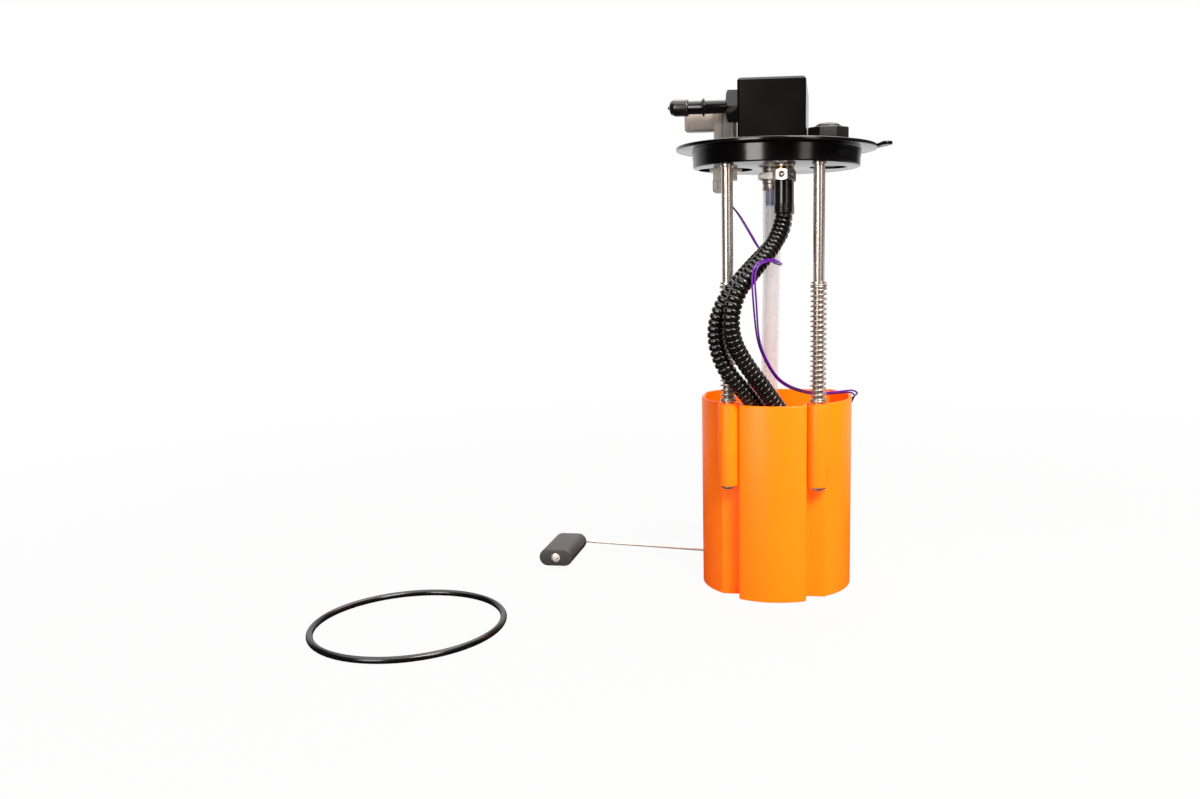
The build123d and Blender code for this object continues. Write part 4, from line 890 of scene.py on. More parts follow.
@dataclass
class Studio:
    """The camera, the pale floor and the soft light."""

    eye: Point = (0.03929, -0.74718, 0.24696)
    forward: Point = (-0.1308, 0.9816, -0.1402)
    roll: float = 0.605
    lens: float = 30.05
    shift_x: float = -0.0805
    floor_size: float = 8.0
    floor_height: float = -0.0003
    floor_colour: Point = (0.58, 0.58, 0.58)
    floor_glow: float = 0.95
    ambient: float = 0.065
    backdrop_edge: float = 0.55
    backdrop_lean: float = 0.35
    ceiling_edge: float = 0.60
    ceiling: float = 3.2
    soft_boxes: tuple[SoftBox, ...] = (
        SoftBox("soft_box_left", (-0.66, -1.37, 0.46), 0.58, 0.95, 17.0, lights=False),
        SoftBox("soft_box_fill", (-0.98, -1.12, 0.50), 0.60, 0.60, 3.2, mirrors=False),
        SoftBox("soft_box_right", (0.99, -1.12, 0.55), 0.38, 1.20, 3.8),
        SoftBox("soft_box_high", (0.71, -1.05, 1.35), 0.80, 0.60, 40.0),
        SoftBox("soft_box_top", (0.10, 0.75, 1.45), 1.4, 0.9, 11.0),
    )

    def place_camera(self) -> None:
        """Set the camera up at the module's viewing angle."""
        ahead = Vector(self.forward).normalized()
        right = ahead.cross(Vector((0, 0, 1))).normalized()
        up = right.cross(ahead)
        turn = math.radians(self.roll)
        image_right = right * math.cos(turn) - up * math.sin(turn)
        image_up = up * math.cos(turn) + right * math.sin(turn)
        camera = bpy.data.cameras.new("studio_camera")
        camera.lens = self.lens
        camera.sensor_width = 36.0
        camera.shift_x = self.shift_x
        camera.clip_start = 0.01
        holder = bpy.data.objects.new("studio_camera", camera)
        bpy.context.scene.collection.objects.link(holder)
        rotation = Matrix((image_right, image_up, -ahead)).transposed().to_4x4()
        holder.matrix_world = Matrix.Translation(self.eye) @ rotation
        bpy.context.scene.camera = holder

    def lay_floor(self) -> None:
        """Lay the pale floor, which looks white and keeps the shadow."""
        Bench.pick()
        bpy.ops.mesh.primitive_plane_add(size=self.floor_size, location=(0, 0, self.floor_height))
        floor = bpy.context.object
        floor.name = "floor"
        shader = Shader("pale_floor")
        shader.feed(base_color=(*self.floor_colour, 1), roughness=0.9, specular_ior_level=0.1)
        seen, mirrored, through = shader.rays()
        away = shader.node("ShaderNodeVectorMath", {"operation": "LENGTH"}, "Value", vector=shader.place())
        far = (away * 1.4 - 0.55).clamped()
        depth = shader.node("ShaderNodeSeparateXYZ", output="Y", vector=shader.place())
        behind = (depth * 2.2 - 0.35).clamped(0.02)
        level = seen.maximum(through).maximum(mirrored * behind)
        white = shader.tint(level, (0.0, 0.0, 0.0), (1.0, 1.0, 1.0))
        share = (seen * (far * (1.0 - self.floor_glow) + self.floor_glow)).maximum(mirrored).maximum(through)
        mix = shader.node(
            "ShaderNodeMixShader", fac=share, shader=Value(shader, shader.surface.outputs[0]),
            shader_001=shader.node("ShaderNodeEmission", color=white, strength=1.0),
        )
        shader.fill(shader.tree.nodes["Material Output"], surface=mix)
        floor.data.materials.append(shader.material)

    def light_room(self) -> None:
        """Light the room: white far behind the module, dim at its sides and behind the camera."""
        world = bpy.data.worlds.new("studio_room")
        bpy.context.scene.world = world
        world.use_nodes = True
        nodes = Nodes(world.node_tree)
        seen, mirrored, through = nodes.rays()
        direction = nodes.node("ShaderNodeTexCoord", output="Generated")
        across, depth, height = (
            nodes.node("ShaderNodeSeparateXYZ", output=axis, vector=direction) for axis in "XYZ"
        )
        backdrop = ((depth - across * self.backdrop_lean - self.backdrop_edge) * 2.4).clamped()
        ceiling = ((height - self.ceiling_edge) * 12.0).clamped(0.0, self.ceiling)
        side = (depth * 0.06 + 0.02).maximum(0.006).maximum(backdrop).maximum(ceiling)
        level = seen.maximum(through).maximum(mirrored * side)
        lit = seen.maximum(through).maximum(mirrored)
        strength = level + (1.0 - lit) * self.ambient
        nodes.fill(world.node_tree.nodes["Background"], color=(1, 1, 1, 1), strength=strength)

    def build(self) -> None:
        """Build the studio."""
        bpy.context.scene.view_settings.view_transform = "Standard"
        self.place_camera()
        self.lay_floor()
        self.light_room()
        for soft_box in self.soft_boxes:
            soft_box.hang()
        log.info("studio: camera, floor and five soft boxes")


# --- hoses, tube and wires -------------------------------------------------------------------------


@dataclass
class Route:
    """One hose, tube or wire: where it runs and what it is."""

    node: str
    points: Sequence[Point]
    diameter: float
    length: float
    finish: Finish
    stiffness: Stiffness
    fold_start: float
    fold_end: float
    bore: float = 0.0
    step: float = 1.0
    around: int = 24

    def line(self) -> tuple[np.ndarray, np.ndarray]:
        """Read the smooth line of the route from its NURBS spline.

        Returns:
            Evenly spaced points in metres, and the distance along the line of each.
        """
        curve = bpy.data.curves.new(self.node + "_line", "CURVE")
        curve.dimensions = "3D"
        spline = curve.splines.new("NURBS")
        spline.points.add(len(self.points) - 1)
        for control, point in zip(spline.points, self.points):
            control.co = (*(value * MM for value in point), 1.0)
        spline.order_u = 3
        spline.use_endpoint_u = True
        spline.resolution_u = 24
        holder = bpy.data.objects.new(self.node + "_line", curve)
        bpy.context.scene.collection.objects.link(holder)
        bpy.context.view_layer.update()
        mesh = bpy.data.meshes.new_from_object(holder.evaluated_get(bpy.context.evaluated_depsgraph_get()))
        raw = np.array([vertex.co[:] for vertex in mesh.vertices])
        bpy.data.objects.remove(holder, do_unlink=True)
        bpy.data.curves.remove(curve)
        bpy.data.meshes.remove(mesh)
        gaps = np.linalg.norm(np.diff(raw, axis=0), axis=1)
        raw = raw[np.concatenate(([True], gaps > 1e-7))]
        along = np.concatenate(([0.0], np.cumsum(np.linalg.norm(np.diff(raw, axis=0), axis=1))))
        count = max(8, int(round(along[-1] / (self.step * MM))))
        places = np.linspace(0.0, along[-1], count + 1)
        return np.stack([np.interp(places, along, raw[:, axis]) for axis in range(3)], axis=1), places

    @staticmethod
    def frames(line: np.ndarray, front: Point = (0.0, -1.0, 0.0)) -> tuple[np.ndarray, np.ndarray]:
        """Carry two cross directions along a line without twist.

        Args:
            line: the points of the line.
            front: the direction that the first one starts nearest to.

        Returns:
            The first and the second cross direction at each point.
        """
        runs = np.gradient(line, axis=0)
        runs /= np.linalg.norm(runs, axis=1)[:, None]
        first = np.zeros_like(line)
        cross = np.array(front)
        for index, run in enumerate(runs):
            cross = cross - run * (cross @ run)
            cross /= np.linalg.norm(cross)
            first[index] = cross
        return first, np.cross(runs, first)

    def radius(self, places: np.ndarray, angles: np.ndarray) -> np.ndarray:
        """Give the surface's radius at each place and angle, in millimetres."""
        return np.full((len(places), len(angles)), self.diameter / 2)

    def angles(self) -> np.ndarray:
        """Give the angles of the points round the line."""
        return np.linspace(0.0, math.tau, self.around, endpoint=False)

    def faces(self, count: int, sides: int) -> list[tuple[int, ...]]:
        """Give the faces of the outer shell, of the bore's shell and of the two ends.

        Args:
            count: number of rings in a shell.
            sides: number of points in a ring.

        Returns:
            Each face's vertices, with the outer shell's first.
        """
        steps = [(ring * sides, side, (side + 1) % sides) for ring in range(count - 1) for side in range(sides)]
        faces = [(ring + j, ring + k, ring + sides + k, ring + sides + j) for ring, j, k in steps]
        last = (count - 1) * sides
        if not self.bore:
            return [*faces, tuple(reversed(range(sides))), tuple(range(last, last + sides))]
        inner = count * sides
        faces += [tuple(inner + corner for corner in reversed(face)) for face in faces]
        for _, j, k in steps[:sides]:
            faces.append((j, inner + j, inner + k, k))
            faces.append((last + j, last + k, inner + last + k, inner + last + j))
        return faces

    def build(self) -> None:
        line, places = self.line()
        angles = self.angles()
        first, second = self.frames(line)
        across = (
            first[:, None, :] * np.cos(angles)[None, :, None] + second[:, None, :] * np.sin(angles)[None, :, None]
        )
        rings = [self.radius(places / MM, angles)]
        if self.bore:
            rings.append(np.full((len(places), len(angles)), self.bore / 2))
        shells = [line[:, None, :] + across * (ring * MM)[:, :, None] for ring in rings]
        vertices = [tuple(point) for shell in shells for point in shell.reshape(-1, 3)]
        mesh = bpy.data.meshes.new(self.node + "_piece")
        mesh.from_pydata(vertices, [], self.faces(len(places), len(angles)))
        mesh.validate()
        piece = bpy.data.objects.new(self.node + "_piece", mesh)
        bpy.context.scene.collection.objects.link(piece)
        Bench.edit(piece, FACE_OUT)
        Bench.smooth(piece, 50.0)
        mesh.materials.append(Finishes.material(self.finish))
        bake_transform(piece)
        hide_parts(self.node)
        log.info("%s bends between reservoir and hanger", piece.name)


@dataclass
class RibbedHose(Route):
    """A corrugated hose with rounded ribs and the seam of its mould."""

    pitch: float = 4.1
    groove: float = 1.5
    rib_share: float = 0.90
    rib_power: float = 2.6
    plain_end: float = 2.2
    seam_angle: float = 0.35
    seam_half: float = 0.03
    seam_height: float = 0.22

    def angles(self) -> np.ndarray:
        """Spread the angles evenly, with three close ones at the seam.

        Returns:
            The angles of the points round the line.
        """
        even = np.linspace(self.seam_angle + 0.1, self.seam_angle + math.tau - 0.1, self.around)
        seam = [self.seam_angle - self.seam_half, self.seam_angle, self.seam_angle + self.seam_half]
        return np.concatenate((seam, even))

    def radius(self, places: np.ndarray, angles: np.ndarray) -> np.ndarray:
        """Raise the ribs along the hose and the seam along one side.

        Args:
            places: distances along the hose, in millimetres.
            angles: angles round it.

        Returns:
            The radius at each place and angle.
        """
        across = np.abs(2.0 * ((places / self.pitch) % 1.0) - 1.0) / self.rib_share
        depth = self.groove * (1.0 - np.sqrt(np.clip(1.0 - across**self.rib_power, 0.0, 1.0)))
        ends = np.minimum(places, places[-1] - places)
        depth = np.where(ends < self.plain_end, self.groove * 0.35, depth)
        ring = self.diameter / 2 - self.seam_height - depth
        ridge = np.clip(1.0 - np.abs(angles - self.seam_angle) / 0.05, 0.0, 1.0)
        return ring[:, None] + self.seam_height * ridge[None, :]


@dataclass
class Lines:
    """Every hose, tube and wire of the module."""

    front_outlet: Flat = (17.0, -13.0)
    rear_outlet: Flat = (-5.0, -13.0)
    pump_top: float = 76.0
    hose_fold: float = 158.0
    wire_fold: float = 150.0
    wire_top: float = 292.0

    def hoses(self) -> list[Route]:
        """Lay out the two ribbed feed hoses.

        Returns:
            The front and the rear hose.
        """
        front = [
            (*FRONT_FEED, CUFF_BOTTOM), (6.1, -27.0, 272.2), (3.9, -31.0, 263.7), (-0.5, -40.0, 253.9),
            (-7.7, -51.5, 244.1), (-15.5, -62.0, 233.7), (-22.9, -67.0, 223.5), (-27.4, -69.0, 206.5),
            (-26.3, -66.0, 190.5), (-18.5, -57.5, 174.0), (-7.8, -51.0, 158.5), (2.0, -40.5, 142.5),
            (9.0, -27.5, 129.5), (15.5, -16.5, 116.0), (*self.front_outlet, 102.0), (*self.front_outlet, 90.0),
        ]
        rear = [
            (*REAR_FEED, CUFF_BOTTOM), (5.8, -10.8, 268.4), (1.4, -16.0, 259.1), (-4.5, -25.5, 251.3),
            (-12.6, -36.5, 242.6), (-22.2, -51.4, 231.0), (-33.0, -57.0, 217.0), (-39.3, -57.5, 199.5),
            (-37.5, -58.0, 182.0), (-30.8, -56.8, 167.0), (-21.2, -50.2, 154.8), (-12.5, -37.0, 141.5),
            (-7.0, -25.5, 128.5), (-5.4, -15.5, 115.5), (*self.rear_outlet, 102.0), (*self.rear_outlet, 90.0),
        ]
        return [
            RibbedHose(
                name, points, 12.7, length, Finishes.hose, Stiffness.STIFF, self.hose_fold, CUFF_BOTTOM,
                bore=8.8, step=0.342, around=36,
            )
            for name, points, length in (("front_feed_hose", front, 238.0), ("rear_feed_hose", rear, 240.9))
        ]

    def tube(self) -> Route:
        """Lay out the clear return tube.

        Returns:
            The tube.
        """
        points = [
            (*RETURN_PORT, FERRULE_BOTTOM), (*RETURN_PORT, 268.0), (-4.2, 12.0, 225.0), (-5.8, 22.0, 175.0),
            (-7.3, 33.0, 125.0), (-7.5, 35.0, 78.0), (-7.5, 35.0, 30.0),
        ]
        return Route(
            "return_tube", points, 13.1, 267.8, Finishes.clear, Stiffness.STIFF, 30.0, 295.0,
            bore=9.6, step=2.5, around=48,
        )

    def sender_wires(self) -> list[Route]:
        """Lay out the two strands of the level sender.

        Returns:
            The front and the rear strand.
        """
        front = [
            (-37.4, 2.0, PLUG_BOTTOM), (-37.4, 2.0, 289.5), (-34.4, -6.5, 286.0), (-28.9, -14.0, 281.4),
            (-20.0, -15.5, 267.0), (-12.5, -14.0, 253.5), (-4.5, -15.5, 245.5), (2.0, -23.5, 242.6),
            (3.8, -35.5, 243.8), (4.2, -47.5, 243.6), (1.2, -58.0, 245.4), (-4.2, -64.5, 245.0),
            (-9.8, -69.0, 242.6), (-12.3, -71.5, 236.8), (-12.3, -72.5, 228.5), (-11.8, -70.0, 218.5),
            (-11.4, -65.0, 208.5), (-10.6, -58.0, 194.6), (-8.9, -51.0, 184.3), (-5.3, -44.0, 174.3),
            (-0.6, -37.0, 164.6), (4.6, -31.0, 157.6), (13.4, -25.0, 151.6), (25.4, -18.0, 147.6),
            (38.0, -9.5, 146.4), (48.0, -0.5, 146.2), (55.6, 7.2, 145.9), (59.0, 12.8, 142.8),
            (58.8, 20.5, 141.0), (56.6, 28.5, 138.2), (53.6, 34.5, 129.5), (49.6, 42.2, 114.0), (41.5, 49.0, 102.0),
            (34.0, 50.6, 95.0), (25.0, 50.6, 95.0),
        ]
        rear = [
            (-37.4, 6.0, PLUG_BOTTOM), (-37.4, 6.0, 288.0), (-33.4, -3.6, 284.2), (-27.4, -11.4, 279.6),
            (-18.2, -12.6, 264.9), (-10.8, -11.4, 251.4), (-3.0, -13.0, 243.6), (4.2, -22.4, 240.9),
            (5.9, -35.2, 242.0), (6.2, -47.9, 242.2), (2.6, -59.6, 244.6), (-3.4, -66.6, 244.2),
            (-8.6, -71.2, 241.2), (-10.3, -73.0, 235.6), (-10.2, -73.6, 227.6), (-9.6, -70.9, 218.0),
            (-9.5, -65.8, 208.4), (-9.2, -59.0, 194.9), (-7.7, -52.0, 184.8), (-4.3, -45.0, 175.2),
            (0.3, -38.0, 165.6), (5.4, -32.0, 158.7), (14.1, -26.0, 152.9), (25.9, -19.0, 149.0),
            (38.5, -10.5, 147.8), (49.0, -1.6, 147.6), (57.0, 6.4, 147.6), (60.8, 12.4, 144.8),
            (60.8, 20.8, 142.8), (58.8, 29.6, 139.8), (55.4, 36.4, 130.6), (51.3, 44.0, 114.8), (43.0, 51.5, 98.5),
            (34.0, 53.0, 89.5), (25.0, 53.0, 89.5),
        ]
        return [
            Route(
                name, points, 1.3, length, Finishes.purple, Stiffness.LIMP, self.wire_fold, self.wire_top,
                step=0.9, around=12,
            )
            for name, points, length in (("sender_wire_front", front, 378.0), ("sender_wire_rear", rear, 392.7))
        ]

    def power_wires(self) -> list[Route]:
        """Lay out the two wires that feed the pumps.

        Returns:
            The red and the black wire.
        """
        positive = [
            (-37.4, 9.2, PLUG_BOTTOM), (-37.4, 9.2, 283.0), (-37.3, 7.0, 262.0), (-36.6, 1.5, 238.0),
            (-35.6, -9.0, 212.0), (-34.0, -14.5, 188.0), (-19.9, -12.5, 165.0), (-16.0, -11.0, 150.0),
            (-4.0, -15.5, 138.0), (3.5, -16.5, 122.0), (9.0, -8.0, 106.0), (14.0, 4.0, 92.0),
            (14.0, 4.0, self.pump_top),
        ]
        negative = [
            (-39.0, 12.6, PLUG_BOTTOM), (-39.0, 12.6, 283.0), (-38.7, 11.4, 260.0), (-37.8, 6.3, 236.0),
            (-36.2, -3.5, 211.0), (-34.5, -8.5, 185.0), (-20.0, -4.0, 163.0), (-20.0, 1.5, 146.0),
            (-16.0, 6.0, 126.0), (-15.5, 8.0, 100.0), (-15.5, 8.0, self.pump_top),
        ]
        return [
            Route(
                f"power_wire_{pole}", points, 3.2, length, finish, Stiffness.MEDIUM, self.pump_top + 6.0,
                self.wire_top, step=1.5, around=16,
            )
            for pole, points, length, finish in (
                ("positive", positive, 240.0, Finishes.red), ("negative", negative, 225.8, Finishes.black_wire),
            )
        ]

    def build(self) -> None:
        """Build every hose, tube and wire."""
        for route in [*self.hoses(), self.tube(), *self.sender_wires(), *self.power_wires()]:
            route.build()


# --- reservoir -------------------------------------------------------------------------------------


@dataclass
class Reservoir:
    """The pump reservoir, with its two guides and what stands in it."""

    wall: float = 2.4
    floor: float = 3.0
    side_x: float = 56.3
    side_back_y: float = 23.5
    side_front_y: float = 3.0
    back_y: float = 46.0
    back_flat_x: float = 40.0
    back_corner: Flat = (49.0, 36.3)
    front_cheek: Flat = (51.8, -17.0)
    cheek_step: float = 1.8
    front_radius: float = 52.5
    notch_floor_y: float = -35.2
    notch_half: float = 7.5
    corner: float = 1.6
    rim_round: float = 0.9
    guide_bottom: float = 84.2
    guide_diameter: float = 14.8
    bush_diameter: float = 11.0
    arc_steps: int = 12
    front_steps: int = 7

    def half_plan(self, inset: float) -> list[Point]:
        """Give the right half of the plan from the back to the front.

        Args:
            inset: how far the wall is moved in.

        Returns:
            x, y and corner radius of each point, without the points on the middle line.
        """
        side_x = self.side_x - inset
        notch_in = ROD[0] - self.notch_half - inset
        cheek_x = ROD[0] + self.notch_half - inset * 0.6
        floor_y = self.notch_floor_y + inset
        radius = self.front_radius - inset
        panel_y = -math.sqrt(radius**2 - notch_in**2)
        corner = (self.back_corner[0] - inset, self.back_corner[1] - inset * 0.8)
        cheek = (self.front_cheek[0] - inset, self.front_cheek[1] + inset * 0.3)
        convex = max(self.corner - inset, 0.25)
        concave = self.corner + inset * 0.5
        back = arc((self.back_flat_x, self.back_y - inset), corner, (side_x, self.side_back_y), self.arc_steps)
        front = arc((side_x, self.side_front_y), cheek, (cheek_x, floor_y + self.cheek_step), self.arc_steps)
        start = math.atan2(panel_y, notch_in)
        step = (-math.pi / 2 - start) / self.front_steps
        turns = [start + step * part for part in range(1, self.front_steps)]
        return [
            *((x, y, 0.0) for x, y in back), (side_x, self.side_back_y, 0.0),
            *((x, y, 0.0) for x, y in front), (cheek_x, floor_y + self.cheek_step, convex),
            (cheek_x - self.cheek_step, floor_y, min(concave, 1.0)),
            (notch_in, floor_y, min(concave, 1.6)), (notch_in, panel_y, convex),
            *((radius * math.cos(turn), radius * math.sin(turn), 0.0) for turn in turns),
        ]

    def plan(self, inset: float) -> list[Flat]:
        """Give the whole plan, clockwise from the back.

        Args:
            inset: how far the wall is moved in.

        Returns:
            The closed outline, with as many points for every inset.
        """
        right = self.half_plan(inset)
        left = [(-x, y, radius) for x, y, radius in reversed(right)]
        return rounded([*right, (0.0, -(self.front_radius - inset), 0.0), *left])

    def wall_piece(self) -> Piece:
        """Raise the wall from the floor, over its rounded rim and down inside.

        Returns:
            The wall and the floor.
        """
        outside = round_levels(0.0, RIM, self.rim_round, self.rim_round)
        inside = [(self.wall - inset, height) for inset, height in reversed(outside[5:])]
        return Bench.raised("reservoir_wall", self.plan, [*outside, *inside, (self.wall, self.floor)])

    def guide_piece(self, side: int) -> Piece:
        """Turn one guide, which stands in its notch.

        Args:
            side: -1 for the left guide and 1 for the right one.

        Returns:
            The guide.
        """
        outer = self.guide_diameter / 2
        inner = self.bush_diameter / 2
        profile = rounded([
            (inner, self.guide_bottom, 0.0), (outer, self.guide_bottom, 1.2), (outer, RIM, 0.9), (inner, RIM, 0.4),
        ], 5)
        return Bench.turned(f"guide_{side}", profile, (side * ROD[0], ROD[1]))

    def build(self) -> None:
        """Build the shell, and dress what the CAD model gives inside it."""
        shell = Bench.gather("reservoir_shell_piece", [self.wall_piece(), self.guide_piece(-1), self.guide_piece(1)])
        finish_piece(shell, Body.RESERVOIR, Finishes.orange, "reservoir_shell")
        dress_nodes({
            "guide_bushes": Finishes.orange, "strainer": Finishes.screen,
            "left_fuel_pump": Finishes.pump_can, "right_fuel_pump": Finishes.pump_can,
            "pump_end_caps": Finishes.black_plastic, "pump_outlets": Finishes.black_plastic,
            "pump_cradle": Finishes.black_plastic, "return_nozzle": Finishes.black_plastic,
            "lower_hose_cuffs": Finishes.cuff, "sender_housing": Finishes.black_plastic,
            "sender_screws": Finishes.steel,
        })


# --- guide rods and springs ------------------------------------------------------------------------


@dataclass
class GuideSprings:
    """The two springs round the guide rods, which press the reservoir down."""

    wire: float = 1.1
    coil: float = 10.6
    low: float = 145.05
    high: float = 227.55
    closed_turns: float = 1.75
    closed_pitch: float = 1.14
    open_turns: int = 22
    steps: int = 40
    sides: int = 10
    wound_pitch: float = 2.0
    keep: float = 0.345

    def heights(self, count: int) -> list[float]:
        """Give the height of the wire's middle at each step of the coil.

        Args:
            count: number of steps.

        Returns:
            The heights, with closed turns at both ends.
        """
        closed = self.closed_turns * self.steps
        middle = (self.high - self.low - 2 * self.closed_turns * self.closed_pitch) / (count - 2 * closed)
        heights = [self.low]
        for step in range(count):
            end = min(step, count - 1 - step)
            share = min(max((end - closed) / (0.25 * self.steps) + 0.5, 0.0), 1.0)
            heights.append(heights[-1] + share * middle + (1 - share) * self.closed_pitch / self.steps)
        scale = (self.high - self.low) / (heights[-1] - self.low)
        return [self.low + (height - self.low) * scale for height in heights]

    def spring(self) -> Piece:
        """Wind one spring round the upright axis with an even pitch, and move its turns to their heights.

        Returns:
            The spring, round the origin.
        """
        ring = [
            (self.coil / 2 + self.wire / 2 * math.cos(math.tau * i / self.sides), 0.0,
             self.wire / 2 * math.sin(math.tau * i / self.sides))
            for i in range(self.sides)
        ]
        piece = Bench.start("spring", ring)
        turns = round(self.open_turns + 2 * self.closed_turns)
        Bench.modify(
            piece, "SCREW", axis="Z", steps=self.steps, render_steps=self.steps, iterations=turns,
            screw_offset=self.wound_pitch * MM, use_merge_vertices=False,
        )
        count = turns * self.steps
        heights = self.heights(count)
        for index, vertex in enumerate(piece.data.vertices):
            step = index // self.sides
            vertex.co.z += heights[min(step, count)] * MM - step * self.wound_pitch * MM / self.steps
        return Bench.edit(piece, FILL_ENDS, SELECT_ALL, FACE_OUT)

    def build(self) -> None:
        """Build both springs, which ride on the reservoir."""
        for side, name in ((-1, "left"), (1, "right")):
            spring = Bench.aim(self.spring(), (side * ROD[0], ROD[1]))
            spring.name = f"{name}_spring_piece"
            finish_piece(spring, Body.RESERVOIR, Finishes.spring_steel, f"{name}_spring", smooth=60.0)
            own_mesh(spring)


@dataclass
class GuideRods:
    """The two polished rods, with what is fixed to their ends."""

    diameter: float = 8.0
    bottom: float = 81.6
    top: float = 319.5
    edge: float = 0.6
    collar_diameter: float = 9.8

    def build(self) -> None:
        """Turn both rods, each with the collar that seats it in the flange, and dress their small parts."""
        radius = self.diameter / 2
        collar = self.collar_diameter / 2
        seat = FLANGE_BOTTOM - 0.1
        profile = rounded([
            (0.0, self.bottom, 0.0), (radius, self.bottom, self.edge), (radius, seat - 1.9, 0.2),
            (collar, seat - 1.5, 0.35), (collar, seat, 0.1), (radius, seat, 0.1),
            (radius, self.top, self.edge), (0.0, self.top, 0.0),
        ])
        for side, name in ((-1, "left"), (1, "right")):
            rod = Bench.turned(f"{name}_guide_rod_piece", profile, (side * ROD[0], ROD[1]))
            finish_piece(rod, Body.HANGER, Finishes.steel, f"{name}_guide_rod")
        dress_nodes(dict.fromkeys(("rod_end_clips", "spring_retainers", "rod_screws"), Finishes.steel))


# --- flange and what stands on it ------------------------------------------------------------------


@dataclass
class Fittings:
    """The hose and tube fittings under the flange, with the cuffs on them."""

    hex_top: float = 308.0
    feed_hex: float = 14.0
    feed_hex_height: float = 8.0
    feed_turn: float = -9.4
    feed_collar: float = 13.4
    feed_barb: float = 9.0
    dimple_radius: float = 2.9
    dimple_reach: float = 8.8
    cuff_diameter: float = 13.2
    cuff_ring: float = 0.35
    ring_pitch: float = 1.6
    return_hex: float = 18.6
    return_hex_height: float = 5.0
    return_turn: float = -14.7
    return_stem: float = 4.8
    ferrule: float = 14.2
    collar_top: float = 317.8
    stud: float = 11.5
    stud_top: float = 334.5
    wall: float = 1.5

    def stud_profile(self, bore: float) -> list[Point]:
        """Give the upper end of a fitting's profile: the stud that screws into the flange."""
        stud = self.stud / 2
        return [(stud, self.collar_top, 0.0), (stud, self.stud_top, 0.5), (bore, self.stud_top, 0.0)]

    def feed_fitting(self, name: str, place: Flat) -> None:
        """Make one feed fitting: stud, collar, hexagon with two spanner dimples, barb and washer.

        Args:
            name: the fitting's name.
            place: its axis.
        """
        hex_top = self.hex_top
        low = hex_top - self.feed_hex_height
        barb = self.feed_barb / 2
        bore = barb - self.wall
        collar = self.feed_collar / 2
        core = Bench.turned("core", rounded([
            (bore, CUFF_BOTTOM, 0.0), (barb, CUFF_BOTTOM, 0.3), (barb, hex_top, 0.0), (collar - 0.9, hex_top, 0.1),
            (collar - 0.9, hex_top + 1.1, 0.1), (collar, hex_top + 1.4, 0.25), (collar, self.collar_top, 0.3),
            *self.stud_profile(bore),
        ], 3), steps=48)
        nut = Bench.nut(self.feed_hex, low, hex_top + 0.01, self.feed_turn, self.feed_barb - 0.02)
        dimples = []
        for lean in (math.radians(self.feed_turn - 90.0), math.radians(self.feed_turn - 30.0)):
            reach = self.dimple_reach * MM
            Bench.pick()
            bpy.ops.mesh.primitive_uv_sphere_add(
                segments=24, ring_count=12, radius=self.dimple_radius * MM,
                location=(reach * math.cos(lean), reach * math.sin(lean), (low + 4.0) * MM),
            )
            dimples.append(bpy.context.object)
        Bench.combine(nut, dimples, "DIFFERENCE")
        fitting = Bench.gather(f"{name}_piece", [nut, core], place)
        finish_piece(fitting, Body.HANGER, Finishes.bright_fitting, name)
        washer = Bench.turned(f"{name}_washer_piece", rounded([
            (collar - 0.85, hex_top + 0.05, 0.0), (collar + 0.5, hex_top + 0.05, 0.3),
            (collar + 0.5, hex_top + 1.1, 0.3), (collar - 0.85, hex_top + 1.1, 0.0),
        ], 3), place, steps=48)
        finish_piece(washer, Body.HANGER, Finishes.brass)

    def return_fitting(self) -> None:
        """Make the return fitting: stud, collar, hexagon and crimped ferrule."""
        hex_top = self.hex_top
        low = hex_top - self.return_hex_height
        ferrule = self.ferrule / 2
        bore = self.return_stem - self.wall
        core = Bench.turned("core", rounded([
            (bore, FERRULE_BOTTOM, 0.0), (ferrule - 0.2, FERRULE_BOTTOM, 0.4), (ferrule, FERRULE_BOTTOM + 1.2, 0.2),
            (ferrule - 0.5, FERRULE_BOTTOM + 1.7, 0.2), (ferrule - 0.5, FERRULE_BOTTOM + 4.4, 0.2),
            (ferrule, FERRULE_BOTTOM + 4.9, 0.2), (ferrule, low, 0.3), (ferrule - 0.6, low, 0.0),
            (ferrule - 0.6, hex_top, 0.0), (ferrule - 1.1, hex_top + 0.1, 0.1), (ferrule - 1.1, hex_top + 1.0, 0.1),
            (ferrule, hex_top + 1.3, 0.3), (ferrule, self.collar_top, 0.3), *self.stud_profile(bore),
        ], 3), steps=56)
        nut = Bench.nut(self.return_hex, low, hex_top + 0.01, self.return_turn, self.ferrule - 1.22)
        fitting = Bench.gather("return_fitting_piece", [nut, core], RETURN_PORT)
        finish_piece(fitting, Body.HANGER, Finishes.bright_fitting, "return_fitting")

    def cuffs(self) -> None:
        """Make the two upper cuffs, each with the rings at its mouth, and join them."""
        radius = self.cuff_diameter / 2
        side, ridge = radius - 0.15, radius + self.cuff_ring
        inner = self.feed_barb / 2 + 0.05
        high = self.hex_top - self.feed_hex_height
        outline = [(inner, CUFF_BOTTOM, 0.0), (radius - 0.4, CUFF_BOTTOM, 0.3)]
        for ring in range(4):
            base = CUFF_BOTTOM + 1.0 + ring * self.ring_pitch
            outline += [(side, base - 0.25, 0.1), (ridge, base + 0.15, 0.25),
                        (ridge, base + 0.75, 0.25), (side, base + 1.15, 0.1)]
        outline += [(side, high, 0.5), (inner, high, 0.0)]
        cuffs = [Bench.turned("cuff", rounded(outline, 3), place, steps=56) for place in (FRONT_FEED, REAR_FEED)]
        cuff = Bench.gather("upper_hose_cuffs_piece", cuffs)
        finish_piece(cuff, Body.HANGER, Finishes.cuff, "upper_hose_cuffs", smooth=50.0)

